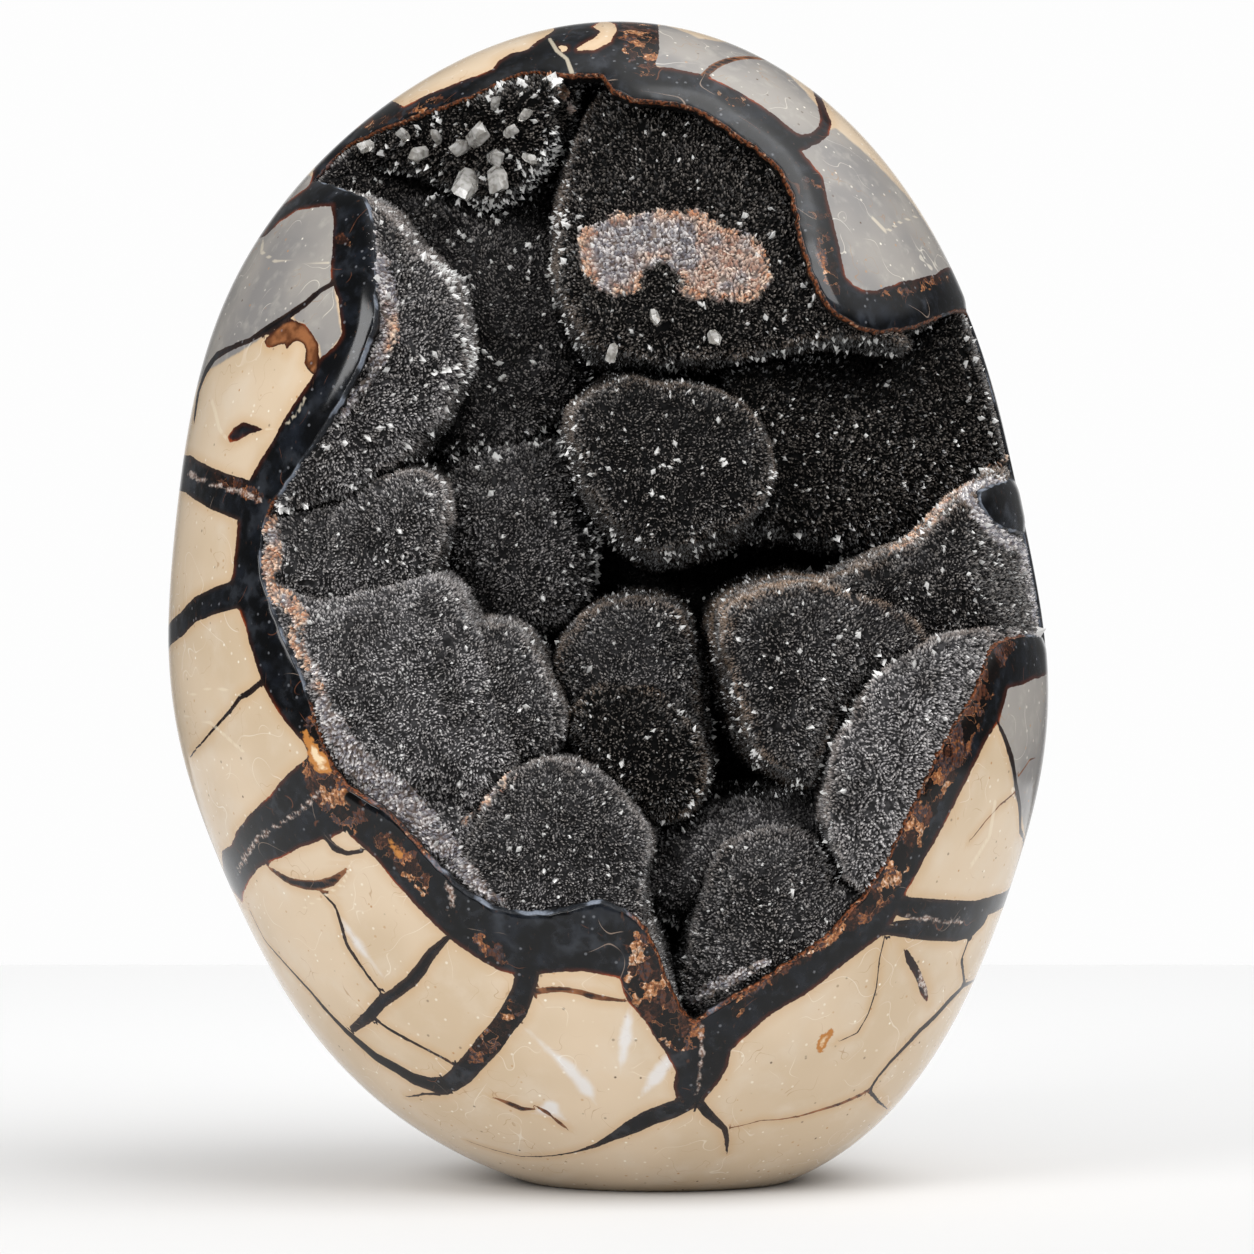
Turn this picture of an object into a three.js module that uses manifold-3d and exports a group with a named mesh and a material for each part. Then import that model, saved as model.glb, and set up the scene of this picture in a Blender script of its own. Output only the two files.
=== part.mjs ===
// A septarian nodule: a mud ball turned to stone, ground and polished to an egg and opened on one side.
// The hollow in its front is filled with swelling lumps, and one crust of dark crystals covers them all.
// Millimetres. +Z is up, the hollow looks along -Y, +X is to the right. The origin is the middle of the
// small flat spot on which the egg stands.

import * as THREE from 'three';
import Module from 'manifold-3d';

// ---- driving dimensions ----

// The egg's front outline is a radius about its centre, plus waves: the first sets it off centre, the
// second draws it out to an oval, and the others narrow its foot and square its shoulders.
const CENTRE_X = -9.8;
const CENTRE_Z = 110;
const MEAN_RADIUS = 101.3;
const OUTLINE_WAVES = [
  { cos: 0.1, sin: 2.0 },
  { cos: -15.4, sin: -2.8 },
  { cos: -1.3, sin: -1.1 },
  { cos: 1.4, sin: 0.2 },
  { cos: 0.8, sin: 0.0 },
  { cos: 0.3, sin: 0.0 },
  { cos: -0.2, sin: -0.6 },
];
const DEPTH_TO_WIDTH = 0.8; // every level of the egg is an oval, this much as deep as it is wide
const EGG_LEVELS = 22;
const EGG_SEGMENTS = 36;

const CRUST = 2.5; // thickness of the crystal crust
const GAP = 0.3; // between the crust and the stone behind it
const SUNK = 1; // the highest lumps stay this far under the polished surface
const RIM_SUNK = 0.4; // and the crust's edge this far, round the mouth
const FLOOR_Y = -28; // the back of the hollow, a plane, at X = 0 and Z = 0
const FLOOR_SLOPE_X = 0.14; // which falls back to the right
const FLOOR_SLOPE_Z = 0.1; // and to the top
const FAR = 200; // past the egg on any side
const TOLERANCE = 0.01; // points closer than this become one

// The mouth's edge, seen from the front: from the notch at the top, clockwise.
// Its right side runs past the egg, because the hollow is open round that shoulder.
const MOUTH = [
  [-18, 217], [-12, 215], [-4, 213], [8, 211], [15, 206], [22, 201], [26, 194], [28, 184], [33, 172],
  [40, 168], [49, 169], [58, 173], [70, 174], [77, 160], [80, 144], [72, 140], [63, 136], [66, 131],
  [78, 129], [88, 124], [90, 110], [66, 107], [61, 97], [55, 88], [48, 74], [41, 61], [32, 51],
  [20, 43], [12, 38], [6, 35], [1, 43], [-4, 54], [-11, 58], [-21, 56], [-32, 57], [-42, 64],
  [-51, 74], [-61, 81], [-65, 89], [-69, 101], [-74, 112], [-77, 122], [-76, 132], [-70, 141],
  [-63, 151], [-57, 162], [-55, 169], [-57, 192], [-63, 196], [-70, 200], [-64, 205], [-51, 210],
  [-38, 214], [-27, 219],
];
const MOUTH_SEGMENTS = 64;

// The lumps of the hollow. Each has its edge seen from the front, clockwise or not, the depth of its
// middle (y), its slopes along X and Z where it leans, and how far its middle swells past its edge.
const LUMPS = [
  {
    // the roof piece at the top left, which carries the clear crystals
    edge: [[-76, 202], [-66, 212], [-50, 219], [-36, 225], [-20, 227], [-19, 212], [-23, 200], [-32, 193],
      [-46, 198], [-60, 200]],
    y: -27, slopeX: -0.4, slopeZ: 0, swell: 3,
  },
  {
    // the deep wall under it
    edge: [[-52, 197], [-35, 196], [-20, 198], [-14, 182], [-12, 166], [-15, 154], [-30, 145],
      [-48, 146], [-46, 162], [-46, 178]],
    y: -26, slopeX: 0, slopeZ: 0.1, swell: 3,
  },
  {
    // the dark wedge in the notch at the top
    edge: [[-28, 226], [-16, 226], [-15, 212], [-18, 206], [-24, 206]],
    y: -27, slopeX: 0, slopeZ: 0, swell: 1,
  },
  {
    // the big block at the top right, which hangs forward
    edge: [[-13, 213], [-7, 220], [8, 216], [21, 208], [31, 197], [34, 182], [41, 171], [47, 166],
      [32, 165], [17, 162], [0, 161], [-12, 163], [-18, 171], [-20, 187], [-18, 200]],
    y: -42, slopeX: 0, slopeZ: 0.4, swell: 4,
  },
  {
    // the six-sided plate under the big block
    edge: [[-17, 151], [-12, 157], [0, 158], [16, 153], [21, 145], [21, 137], [17, 131], [0, 124],
      [-8, 128], [-14, 137]],
    y: -50, slopeX: 0, slopeZ: 0, swell: 2,
  },
  {
    // the wide slab that falls back to the right shoulder
    edge: [[13, 162], [28, 166], [46, 169], [62, 178], [72, 172], [80, 142], [64, 138], [54, 131],
      [44, 125], [28, 127], [14, 132]],
    y: -24, slopeX: 0.58, slopeZ: 0, swell: 3,
  },
  {
    // the slab below it, parted from it by a crack
    edge: [[30, 118], [38, 122], [48, 127], [59, 136], [72, 139], [84, 128], [84, 108], [66, 107],
      [55, 105], [42, 112]],
    y: -39, slopeX: 0.25, slopeZ: 0, swell: 3,
  },
  {
    // the beige-edged lump right of the middle
    edge: [[12, 110], [14, 116], [24, 119], [37, 118], [50, 113], [55, 106], [47, 101], [38, 96],
      [33, 88], [29, 80], [21, 84], [14, 96]],
    y: -51, slopeX: 0.25, slopeZ: 0, swell: 4,
  },
  {
    // the long lump along the right side of the rim
    edge: [[50, 108], [66, 110], [84, 109], [76, 94], [62, 76], [52, 60], [42, 56], [33, 67],
      [31, 80], [36, 94], [42, 103]],
    y: -49, slopeX: 0.3, slopeZ: 0, swell: 3,
  },
  {
    // the dome at the bottom right
    edge: [[6, 54], [10, 66], [18, 72], [28, 72], [36, 64], [48, 58], [40, 44], [24, 34], [10, 28],
      [4, 38]],
    y: -51, slopeX: 0, slopeZ: 0, swell: 5,
  },
  {
    // the low ground between the domes
    edge: [[-10, 62], [0, 71], [10, 76], [22, 79], [34, 79], [36, 68], [20, 60], [6, 52]],
    y: -39, slopeX: 0, slopeZ: 0, swell: 2,
  },
  {
    // the fold that hangs from the left side of the rim
    edge: [[-61, 193], [-52, 190], [-44, 182], [-39, 174], [-36, 163], [-41, 151], [-50, 141],
      [-64, 134], [-84, 132], [-82, 148], [-72, 164], [-70, 182]],
    y: -49, slopeX: 0.1, slopeZ: 0, swell: 3,
  },
  {
    // the small lump under the fold
    edge: [[-86, 132], [-74, 135], [-61, 137], [-49, 141], [-41, 138], [-41, 127], [-45, 117],
      [-60, 112], [-84, 112]],
    y: -48, slopeX: -0.1, slopeZ: 0, swell: 3,
  },
  {
    // the deep wall in the middle
    edge: [[-45, 141], [-35, 146], [-20, 147], [-14, 137], [-12, 122], [-17, 111], [-27, 107],
      [-38, 111], [-44, 124]],
    y: -33, slopeX: 0, slopeZ: 0, swell: 4,
  },
  {
    // the wide light lump on the left
    edge: [[-84, 116], [-60, 117], [-43, 120], [-34, 111], [-29, 96], [-26, 85], [-34, 75], [-46, 76],
      [-60, 78], [-76, 84], [-84, 100]],
    y: -56, slopeX: -0.05, slopeZ: 0, swell: 5,
  },
  {
    // the small lump against its right side
    edge: [[-40, 110], [-27, 110], [-19, 99], [-18, 88], [-27, 81], [-38, 88]],
    y: -50, slopeX: 0, slopeZ: 0, swell: 2,
  },
  {
    // the strip along the lower left of the rim
    edge: [[-74, 88], [-52, 88], [-36, 80], [-28, 66], [-32, 50], [-48, 52], [-66, 68]],
    y: -52, slopeX: 0, slopeZ: 0, swell: 2,
  },
  {
    // the dome at the bottom left
    edge: [[-39, 66], [-34, 77], [-23, 85], [-10, 82], [-2, 71], [-3, 60], [-5, 48], [-20, 44],
      [-37, 50]],
    y: -59, slopeX: 0, slopeZ: 0, swell: 4,
  },
  {
    // the two lumps low in the middle, one above the other
    edge: [[-20, 105], [-14, 114], [-2, 117], [5, 114], [8, 100], [8, 86], [-4, 86], [-18, 92]],
    y: -41, slopeX: 0, slopeZ: 0, swell: 3,
  },
  {
    edge: [[-19, 92], [-11, 100], [0, 99], [8, 90], [9, 79], [4, 73], [-4, 74], [-15, 82]],
    y: -47, slopeX: 0, slopeZ: 0, swell: 3,
  },
  {
    // the gully between the two bottom domes
    edge: [[-10, 62], [4, 76], [24, 80], [26, 64], [16, 52], [16, 32], [4, 26], [-10, 46]],
    y: -29, slopeX: 0, slopeZ: 0, swell: 2,
  },
];
const LUMP_SEGMENTS = 13;
const HIDDEN_LUMP_SEGMENTS = 9; // on the two surfaces that no one sees
const LUMP_ROUNDING = 5;
// From the wall to the top, as shares of the rounding: how far in from the edge, and how far back.
const LUMP_PROFILE = [{ into: 0, back: 0.9 }, { into: 0.25, back: 0.3 }, { into: 0.8, back: 0 }];
const HIDDEN_LUMP_PROFILE = [{ into: 0, back: 0.9 }, { into: 0.5, back: 0 }];
const SWELL_RING = 0.6; // a ring on the swelling top, this share of the way to the middle
const SWELL_RING_BACK = 0.25; // and this share of the swell behind it
const LUMP_ROOT_Y = 12; // the lumps' roots run on under the floor, into the stone
const LUMP_FLARE = 5; // and spread there, so that the clefts between lumps narrow as they go down

// The clear crystals, larger than the rest: place, width, length, and how far the tip leans along X and Z.
const CRYSTALS = [
  { x: -38.6, y: -29, z: 203.6, width: 4.0, length: 7, leanX: -0.5, leanZ: -0.2 },
  { x: -35.2, y: -31, z: 205.8, width: 4.4, length: 7, leanX: 0.5, leanZ: 0.3 },
  { x: -37.6, y: -29, z: 196.4, width: 5.0, length: 9, leanX: -0.2, leanZ: -0.9 },
  { x: -31.4, y: -32, z: 197.0, width: 4.8, length: 8, leanX: 0.2, leanZ: -0.7 },
  { x: -31.8, y: -31, z: 201.4, width: 3.6, length: 7, leanX: 0.4, leanZ: -0.1 },
  { x: -28.7, y: -33, z: 206.4, width: 2.4, length: 5, leanX: 0.5, leanZ: 0.3 },
  { x: -31.8, y: -32, z: 212.0, width: 2.2, length: 5, leanX: 0.1, leanZ: 0.4 },
  { x: -47.0, y: -26, z: 202.6, width: 3.2, length: 6, leanX: -0.7, leanZ: -0.3 },
  { x: -57.5, y: -21, z: 204.6, width: 2.8, length: 5, leanX: -0.5, leanZ: -0.4 },
  { x: -50.0, y: -25, z: 206.5, width: 2.4, length: 5, leanX: -0.3, leanZ: 0.3 },
  { x: -43.5, y: -27, z: 206.0, width: 2.4, length: 5, leanX: -0.3, leanZ: 0.4 },
  { x: -25.0, y: -34, z: 201.0, width: 2.4, length: 5, leanX: 0.6, leanZ: -0.3 },
  { x: -26.0, y: -34, z: 209.5, width: 2.4, length: 5, leanX: 0.4, leanZ: 0.3 },
  { x: -9.2, y: -47, z: 162.6, width: 3.0, length: 5, leanX: -0.2, leanZ: -0.8 },
  { x: -1.0, y: -48, z: 169.5, width: 2.4, length: 5, leanX: 0.1, leanZ: -0.6 },
  { x: 10.4, y: -47, z: 165.6, width: 2.8, length: 5, leanX: 0.2, leanZ: -0.6 },
];
const CRYSTAL_SIDES = 6;
const CRYSTAL_SUNK = 0.4; // share of the length under the crust
const CRYSTAL_TIP = 0.45; // share of the length that is the point
const CRYSTAL_ROOT = 0.8; // width at the root, as a share of the full width

// ---- closed solids from rings of points ----

const wasm = await Module();
wasm.setup();

// A closed solid through rings of equally many points, from one end point to the other.
function solidThroughRings(first, rings, last) {
  const count = rings[0].length;
  const points = [first, ...rings.flat(), last];
  const triangles = [];
  for (let i = 0; i < count; i += 1) {
    const next = (i + 1) % count;
    triangles.push([0, 1 + next, 1 + i]);
    for (let ring = 0; ring + 1 < rings.length; ring += 1) {
      const here = 1 + ring * count;
      const there = here + count;
      triangles.push([here + i, here + next, there + i]);
      triangles.push([here + next, there + next, there + i]);
    }
    const end = 1 + (rings.length - 1) * count;
    triangles.push([end + i, end + next, points.length - 1]);
  }
  return solid(points, triangles);
}

// A solid of points and triangles, turned so that its faces point out.
function solid(points, triangles) {
  let volume = 0;
  for (const [a, b, c] of triangles) {
    volume += points[a].dot(new THREE.Vector3().crossVectors(points[b], points[c]));
  }
  const facingOut = volume > 0 ? triangles : triangles.map(([a, b, c]) => [a, c, b]);
  return new wasm.Manifold(new wasm.Mesh({
    numProp: 3,
    vertProperties: new Float32Array(points.flatMap((point) => point.toArray())),
    triVerts: new Uint32Array(facingOut.flat()),
    tolerance: TOLERANCE,
  }));
}

// Evenly spaced points of the smooth closed curve through an edge, moved in by `inset` all round.
function smoothEdge(edge, segments, inset) {
  const corners = edge.map(([x, z]) => new THREE.Vector3(x, 0, z));
  const curve = new THREE.CatmullRomCurve3(corners, true, 'centripetal');
  const points = curve.getSpacedPoints(segments).slice(0, segments);
  const turn = Math.sign(THREE.ShapeUtils.area(points.map(({ x, z }) => new THREE.Vector2(x, z))));
  return points.map((point, i) => {
    const along = points[(i + 1) % segments].clone().sub(points[(i + segments - 1) % segments]);
    along.normalize().multiplyScalar(turn * inset);
    return new THREE.Vector3(point.x - along.z, 0, point.z + along.x);
  });
}

function atDepth(points, depth) {
  return points.map(({ x, z }) => new THREE.Vector3(x, depth({ x, z }), z));
}

// ---- the egg ----

function outlinePoint(angle, inset) {
  let radius = MEAN_RADIUS - inset;
  OUTLINE_WAVES.forEach(({ cos, sin }, i) => {
    radius += cos * Math.cos((i + 1) * angle) + sin * Math.sin((i + 1) * angle);
  });
  return new THREE.Vector3(CENTRE_X + radius * Math.cos(angle), 0, CENTRE_Z + radius * Math.sin(angle));
}

// One level joins an outline point on the right to the one as high on the left, and is an oval between.
function eggLevel(latitude, inset) {
  const right = outlinePoint(latitude, inset);
  const left = outlinePoint(Math.PI - latitude, inset);
  const middle = right.clone().add(left).multiplyScalar(0.5);
  const half = right.clone().sub(left).multiplyScalar(0.5);
  const depth = DEPTH_TO_WIDTH * half.length();
  const level = [];
  for (let i = 0; i < EGG_SEGMENTS; i += 1) {
    const turn = (2 * Math.PI * i) / EGG_SEGMENTS;
    const point = middle.clone().addScaledVector(half, Math.cos(turn));
    point.y = -depth * Math.sin(turn);
    level.push(point);
  }
  return level;
}

function egg(inset) {
  const levels = [];
  for (let i = 1; i < EGG_LEVELS; i += 1) {
    levels.push(eggLevel(Math.PI * (i / EGG_LEVELS - 0.5), inset));
  }
  return solidThroughRings(outlinePoint(-Math.PI / 2, inset), levels, outlinePoint(Math.PI / 2, inset));
}

// ---- the mouth and the lumps in it ----

function mouth(inset) {
  const edge = smoothEdge(MOUTH, MOUTH_SEGMENTS, inset);
  const flat = edge.map(({ x, z }) => new THREE.Vector2(x, z));
  const front = atDepth(edge, () => -FAR);
  const floor = ({ x, z }) => FLOOR_Y + FLOOR_SLOPE_X * x + FLOOR_SLOPE_Z * z;
  const back = atDepth(edge, (point) => floor(point) + CRUST + GAP - inset);
  const triangles = [];
  for (const [a, b, c] of THREE.ShapeUtils.triangulateShape(flat, [])) {
    triangles.push([a, b, c], [a + edge.length, c + edge.length, b + edge.length]);
  }
  const turn = THREE.ShapeUtils.isClockWise(flat) ? -1 : 1;
  edge.forEach((point, i) => {
    const next = (i + 1) % edge.length;
    const [here, there] = turn > 0 ? [i, next] : [next, i];
    triangles.push([there, here, here + edge.length], [there, here + edge.length, there + edge.length]);
  });
  return solid([...front, ...back], triangles);
}

// A lump: walls along Y, a rounded edge and a swelling top, `inset` inside its full size all over.
function lump({ edge, y, slopeX, slopeZ, swell }, inset) {
  const segments = inset > 0 ? HIDDEN_LUMP_SEGMENTS : LUMP_SEGMENTS;
  const profile = inset > 0 ? HIDDEN_LUMP_PROFILE : LUMP_PROFILE;
  const outline = smoothEdge(edge, segments, inset);
  const middle = new THREE.Vector3();
  outline.forEach((point) => middle.addScaledVector(point, 1 / outline.length));
  const top = (sunk) => ({ x, z }) => (
    y + slopeX * (x - middle.x) + slopeZ * (z - middle.z) + inset + sunk
  );
  const flared = smoothEdge(edge, segments, inset - LUMP_FLARE);
  const rings = [atDepth(flared, () => LUMP_ROOT_Y + inset)];
  for (const { into, back } of profile) {
    const rounded = smoothEdge(edge, segments, inset + into * LUMP_ROUNDING);
    rings.push(atDepth(rounded, top(swell + back * LUMP_ROUNDING)));
  }
  if (inset === 0) {
    const inner = outline.map((point) => point.clone().lerp(middle, SWELL_RING));
    rings.push(atDepth(inner, top(SWELL_RING_BACK * swell)));
  }
  const root = new THREE.Vector3(middle.x, LUMP_ROOT_Y + inset, middle.z);
  const crown = new THREE.Vector3(middle.x, top(0)(middle), middle.z);
  return solidThroughRings(root, rings, crown).intersect(egg(SUNK + inset));
}

// The open space of the hollow, once everything in it is moved back by `depth`.
function hollow(depth) {
  let space = mouth(CRUST + GAP - depth);
  for (const shape of LUMPS) {
    space = space.subtract(lump(shape, depth));
  }
  return largestPiece(space);
}

function largestPiece(shape) {
  return shape.decompose().reduce((large, piece) => (piece.volume() > large.volume() ? piece : large));
}

// A crystal: a six-sided column, rooted in the crust and ending in a point.
function crystal({ x, y, z, width, length, leanX, leanZ }) {
  const axis = new THREE.Vector3(leanX, -1, leanZ).normalize();
  const turned = new THREE.Quaternion().setFromUnitVectors(new THREE.Vector3(0, 1, 0), axis);
  const place = (point) => point.applyQuaternion(turned).add(new THREE.Vector3(x, y, z));
  const ring = (radius, along) => {
    const points = [];
    for (let i = 0; i < CRYSTAL_SIDES; i += 1) {
      const turn = (2 * Math.PI * i) / CRYSTAL_SIDES;
      points.push(place(new THREE.Vector3(radius * Math.cos(turn), along, radius * Math.sin(turn))));
    }
    return points;
  };
  const root = -CRYSTAL_SUNK * length;
  const tip = root + length;
  const shoulder = tip - CRYSTAL_TIP * length;
  return solidThroughRings(
    place(new THREE.Vector3(0, root, 0)),
    [ring((CRYSTAL_ROOT * width) / 2, root), ring(width / 2, shoulder)],
    place(new THREE.Vector3(0, tip, 0)),
  );
}

// ---- the two pieces ----

function nodule() {
  const ground = solidThroughRings(
    new THREE.Vector3(0, 0, -FAR),
    [-FAR, 0].map((z) => [[-FAR, -FAR], [FAR, -FAR], [FAR, FAR], [-FAR, FAR]]
      .map(([x, y]) => new THREE.Vector3(x, y, z))),
    new THREE.Vector3(0, 0, 0),
  );
  return largestPiece(egg(0).subtract(ground).subtract(hollow(CRUST + GAP)));
}

function crystalCrust() {
  let crust = largestPiece(hollow(CRUST).subtract(hollow(0)).intersect(egg(RIM_SUNK)));
  for (const shape of CRYSTALS) {
    crust = crust.add(crystal(shape));
  }
  return largestPiece(crust.intersect(hollow(CRUST)));
}

function namedMesh(name, shape, material) {
  const { numProp, vertProperties, triVerts } = shape.getMesh();
  const geometry = new THREE.BufferGeometry();
  geometry.setAttribute('position', new THREE.BufferAttribute(vertProperties, numProp));
  geometry.setIndex(new THREE.BufferAttribute(triVerts, 1));
  geometry.computeVertexNormals();
  const mesh = new THREE.Mesh(geometry, new THREE.MeshStandardMaterial({ flatShading: true, ...material }));
  mesh.name = name;
  return mesh;
}

const septarianNodule = new THREE.Group();
septarianNodule.add(
  namedMesh('nodule', nodule(), { color: 0xcdb899, roughness: 0.15, metalness: 0 }),
  namedMesh('crystal_crust', crystalCrust(), { color: 0x2b292a, roughness: 0.45, metalness: 0 }),
);

export default septarianNodule;
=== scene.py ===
# A septarian nodule: a mud ball turned to stone, ground and polished to an egg and opened on one side.
# The polished stone shows beige and grey mudstone cut up by veins of black calcite. The hollow in its
# front is filled with swelling lumps under one crust of small dark calcite crystals.
# Lengths are in millimetres and become metres where a mesh or a pattern is made. +Z is up, the hollow
# looks along -Y, +X is to the right, and the origin is the middle of the flat spot under the egg.

import math

import bpy
import numpy as np
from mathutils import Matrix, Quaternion, Vector, noise


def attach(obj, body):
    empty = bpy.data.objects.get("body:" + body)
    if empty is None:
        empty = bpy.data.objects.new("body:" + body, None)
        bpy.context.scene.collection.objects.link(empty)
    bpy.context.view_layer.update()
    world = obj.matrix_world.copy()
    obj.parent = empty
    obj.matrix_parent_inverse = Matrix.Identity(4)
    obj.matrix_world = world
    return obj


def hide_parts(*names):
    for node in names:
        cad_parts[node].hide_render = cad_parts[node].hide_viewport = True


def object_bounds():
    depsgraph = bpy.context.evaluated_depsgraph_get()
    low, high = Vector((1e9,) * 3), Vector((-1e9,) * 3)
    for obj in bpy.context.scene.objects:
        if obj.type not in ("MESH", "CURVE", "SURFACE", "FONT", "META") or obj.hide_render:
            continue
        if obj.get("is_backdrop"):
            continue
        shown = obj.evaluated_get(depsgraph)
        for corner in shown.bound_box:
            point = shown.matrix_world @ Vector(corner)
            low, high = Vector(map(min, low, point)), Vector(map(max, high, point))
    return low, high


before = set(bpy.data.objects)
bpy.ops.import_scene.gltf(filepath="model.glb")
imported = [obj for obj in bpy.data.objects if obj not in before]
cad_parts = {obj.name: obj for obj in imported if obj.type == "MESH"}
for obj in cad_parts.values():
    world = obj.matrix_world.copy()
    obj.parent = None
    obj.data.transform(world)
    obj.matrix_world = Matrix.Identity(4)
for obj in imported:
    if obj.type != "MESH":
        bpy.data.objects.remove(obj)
cad_low, cad_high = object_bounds()

# ---- the polished stone: its skin ----
# One block of mudstone with its veins, ground to an egg and polished all over, flat under its foot.
# It is one skin, open only at the mouth of the hollow, where a crystalline rim turns in from the cut.

MM = 0.001

# The egg's outline from the front is a radius about its centre, plus waves as (cosine, sine).
EGG_CENTRE = (-9.8, 110.0)
EGG_RADIUS = 101.3
EGG_WAVES = [(0.1, 2.0), (-15.4, -2.8), (-1.3, -1.1), (1.4, 0.2), (0.8, 0.0), (0.3, 0.0), (-0.2, -0.6)]
EGG_DEPTH = 0.8  # every level is an oval, this much as deep as it is wide
SKIN_INSET = 0.2  # the skin lies this far inside the egg's full size
EGG_LEVELS = 296  # with the segments round a level, these keep the stone under 200,000 triangles
FRONT_SEGMENTS = 306
BACK_SEGMENTS = 100
OUTLINE_STEPS = 2000  # along half of the outline, to space the levels evenly
HALVINGS = 22  # find a point's level well within a thousandth of a millimetre

# The mouth's edge from the front, clockwise from the notch at the top. Its right side runs past the egg,
# where the mouth ends at a sloping plane instead, because the hollow is open round that shoulder.
MOUTH = [
    (-18, 218.5), (-11, 218), (-8, 214.5), (-4, 213), (8, 211), (15, 206), (22, 201), (26, 194),
    (28, 184), (33, 172), (40, 168), (49, 169), (58, 173), (70, 174), (77, 160), (80, 144), (72, 140),
    (63, 136), (66, 131), (78, 129), (88, 124), (90, 110), (66, 107), (61, 97), (55, 88), (48, 74),
    (41, 61), (32, 51), (20, 43), (12, 38), (6, 35), (1, 43), (-4, 54), (-11, 58), (-21, 56),
    (-32, 57), (-42, 64), (-51, 74), (-61, 81), (-65, 89), (-69, 101), (-74, 112), (-77, 122),
    (-76, 132), (-70, 141), (-63, 151), (-57, 162), (-55, 169), (-57, 192), (-63, 196), (-70, 200),
    (-64, 205), (-51, 210), (-38, 214), (-27, 219),
]
FLOOR_Y = -28.0  # the hollow's back is a plane: its y at x = 0 and z = 0
FLOOR_SLOPE_X = 0.14  # and how it falls back to the right
FLOOR_SLOPE_Z = 0.1  # and to the top
CRUST = 2.8  # from that plane to the stone behind the crust
BEVEL = 3.0  # the polish rounds the mouth's edge over this width
BEVEL_DROP = 0.55  # and takes this much off it
CHIP_DEPTH = 0.35  # how far chips eat into the mouth's edge
CHIP_LENGTH = 2.5
CHIP_REACH = 3.0  # no chip starts further from the edge than this
RIM_RINGS = [(0.12, 0.03), (0.35, 0.2), (0.8, 0.8), (1.0, 1.8), (0.8, 4.5)]  # into the mouth, and back
RIM_LEAN = 0.3  # how far the wall leans from straight back towards square to the skin
RIM_TEETH = 0.35  # how uneven the rings are, as a share of each step
TOOTH_LENGTH = 0.8
RIM_SMOOTH = 3  # points on each side that give the rim its course, and passes that even out its way in


def outline_point(angle, inset=0.0):
    """The x and z of the egg's front outline at an angle about its centre."""
    radius = EGG_RADIUS - inset
    for k, (cos_part, sin_part) in enumerate(EGG_WAVES, 1):
        radius = radius + cos_part * np.cos(k * angle) + sin_part * np.sin(k * angle)
    return EGG_CENTRE[0] + radius * np.cos(angle), EGG_CENTRE[1] + radius * np.sin(angle)


def egg_level(latitude, inset=0.0):
    """The middle of a level, and half of the line from its left end to its right end, as x and z."""
    right_x, right_z = outline_point(latitude, inset)
    left_x, left_z = outline_point(math.pi - latitude, inset)
    middle = (right_x + left_x) / 2, (right_z + left_z) / 2
    return middle, ((right_x - left_x) / 2, (right_z - left_z) / 2)


def egg_point(latitude, turn, inset=0.0):
    """A point of the egg. From 0 at its right the turn runs over its front to its left and its back."""
    (middle_x, middle_z), (half_x, half_z) = egg_level(latitude, inset)
    x = middle_x + half_x * np.cos(turn)
    z = middle_z + half_z * np.cos(turn)
    return np.stack([x, -EGG_DEPTH * np.hypot(half_x, half_z) * np.sin(turn), z], axis=-1)


def egg_front(x, z, inset=0.0):
    """The y of the egg's front at (x, z), and how far that is from the level's middle: 1 at the limb."""
    low = np.full(np.shape(x), -math.pi / 2)
    high = -low
    for _ in range(HALVINGS):
        latitude = (low + high) / 2
        (middle_x, middle_z), (half_x, half_z) = egg_level(latitude, inset)
        above = half_x * (z - middle_z) - half_z * (x - middle_x) > 0
        low = np.where(above, latitude, low)
        high = np.where(above, high, latitude)
    half = np.maximum(np.hypot(half_x, half_z), 1e-9)
    share = np.abs((x - middle_x) * half_x + (z - middle_z) * half_z) / half**2
    return -EGG_DEPTH * half * np.sqrt(np.clip(1 - share**2, 0, 1)), share


def smooth_outline(corners, steps=6):
    """Points of the smooth closed curve through the corners (centripetal Catmull-Rom)."""
    corners = np.asarray(corners, float)
    points = []
    for i in range(len(corners)):
        a, b, c, d = (corners[(i + k) % len(corners)] for k in (-1, 0, 1, 2))
        before, here, after = (math.dist(p, q) ** 0.5 for p, q in ((a, b), (b, c), (c, d)))
        start = here * ((b - a) / before - (c - a) / (before + here) + (c - b) / here)
        end = here * ((c - b) / here - (d - b) / (here + after) + (d - c) / after)
        for t in np.arange(steps) / steps:
            rest = (t**3 - 2 * t**2 + t) * start + (t**3 - t**2) * end
            points.append((2 * t**3 - 3 * t**2 + 1) * b + (3 * t**2 - 2 * t**3) * c + rest)
    return np.array(points)


def polygon_depth(x, z, corners):
    """How far points lie inside a closed outline, negative outside it."""
    corners = np.asarray(corners, float)
    nearest = np.full(np.shape(x), np.inf)
    inside = np.zeros(np.shape(x), bool)
    for (ax, az), (bx, bz) in zip(corners, np.roll(corners, -1, axis=0)):
        along_x, along_z = bx - ax, bz - az
        share = ((x - ax) * along_x + (z - az) * along_z) / max(along_x**2 + along_z**2, 1e-9)
        share = np.clip(share, 0, 1)
        off = (x - ax - share * along_x) ** 2 + (z - az - share * along_z) ** 2
        nearest = np.minimum(nearest, off)
        if az != bz:
            inside ^= ((az > z) != (bz > z)) & (x < ax + along_x * (z - az) / along_z)
    return np.where(inside, 1, -1) * np.sqrt(nearest)


def wander(points, size, seed=0.0):
    """Smooth noise from -1 to 1 at points in millimetres, with features of that size."""
    offset = Vector((seed, seed * 1.7, seed * 2.3))
    return np.array([noise.noise(Vector(p) / size + offset) for p in points])


mouth_outline = smooth_outline(MOUTH)


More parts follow.
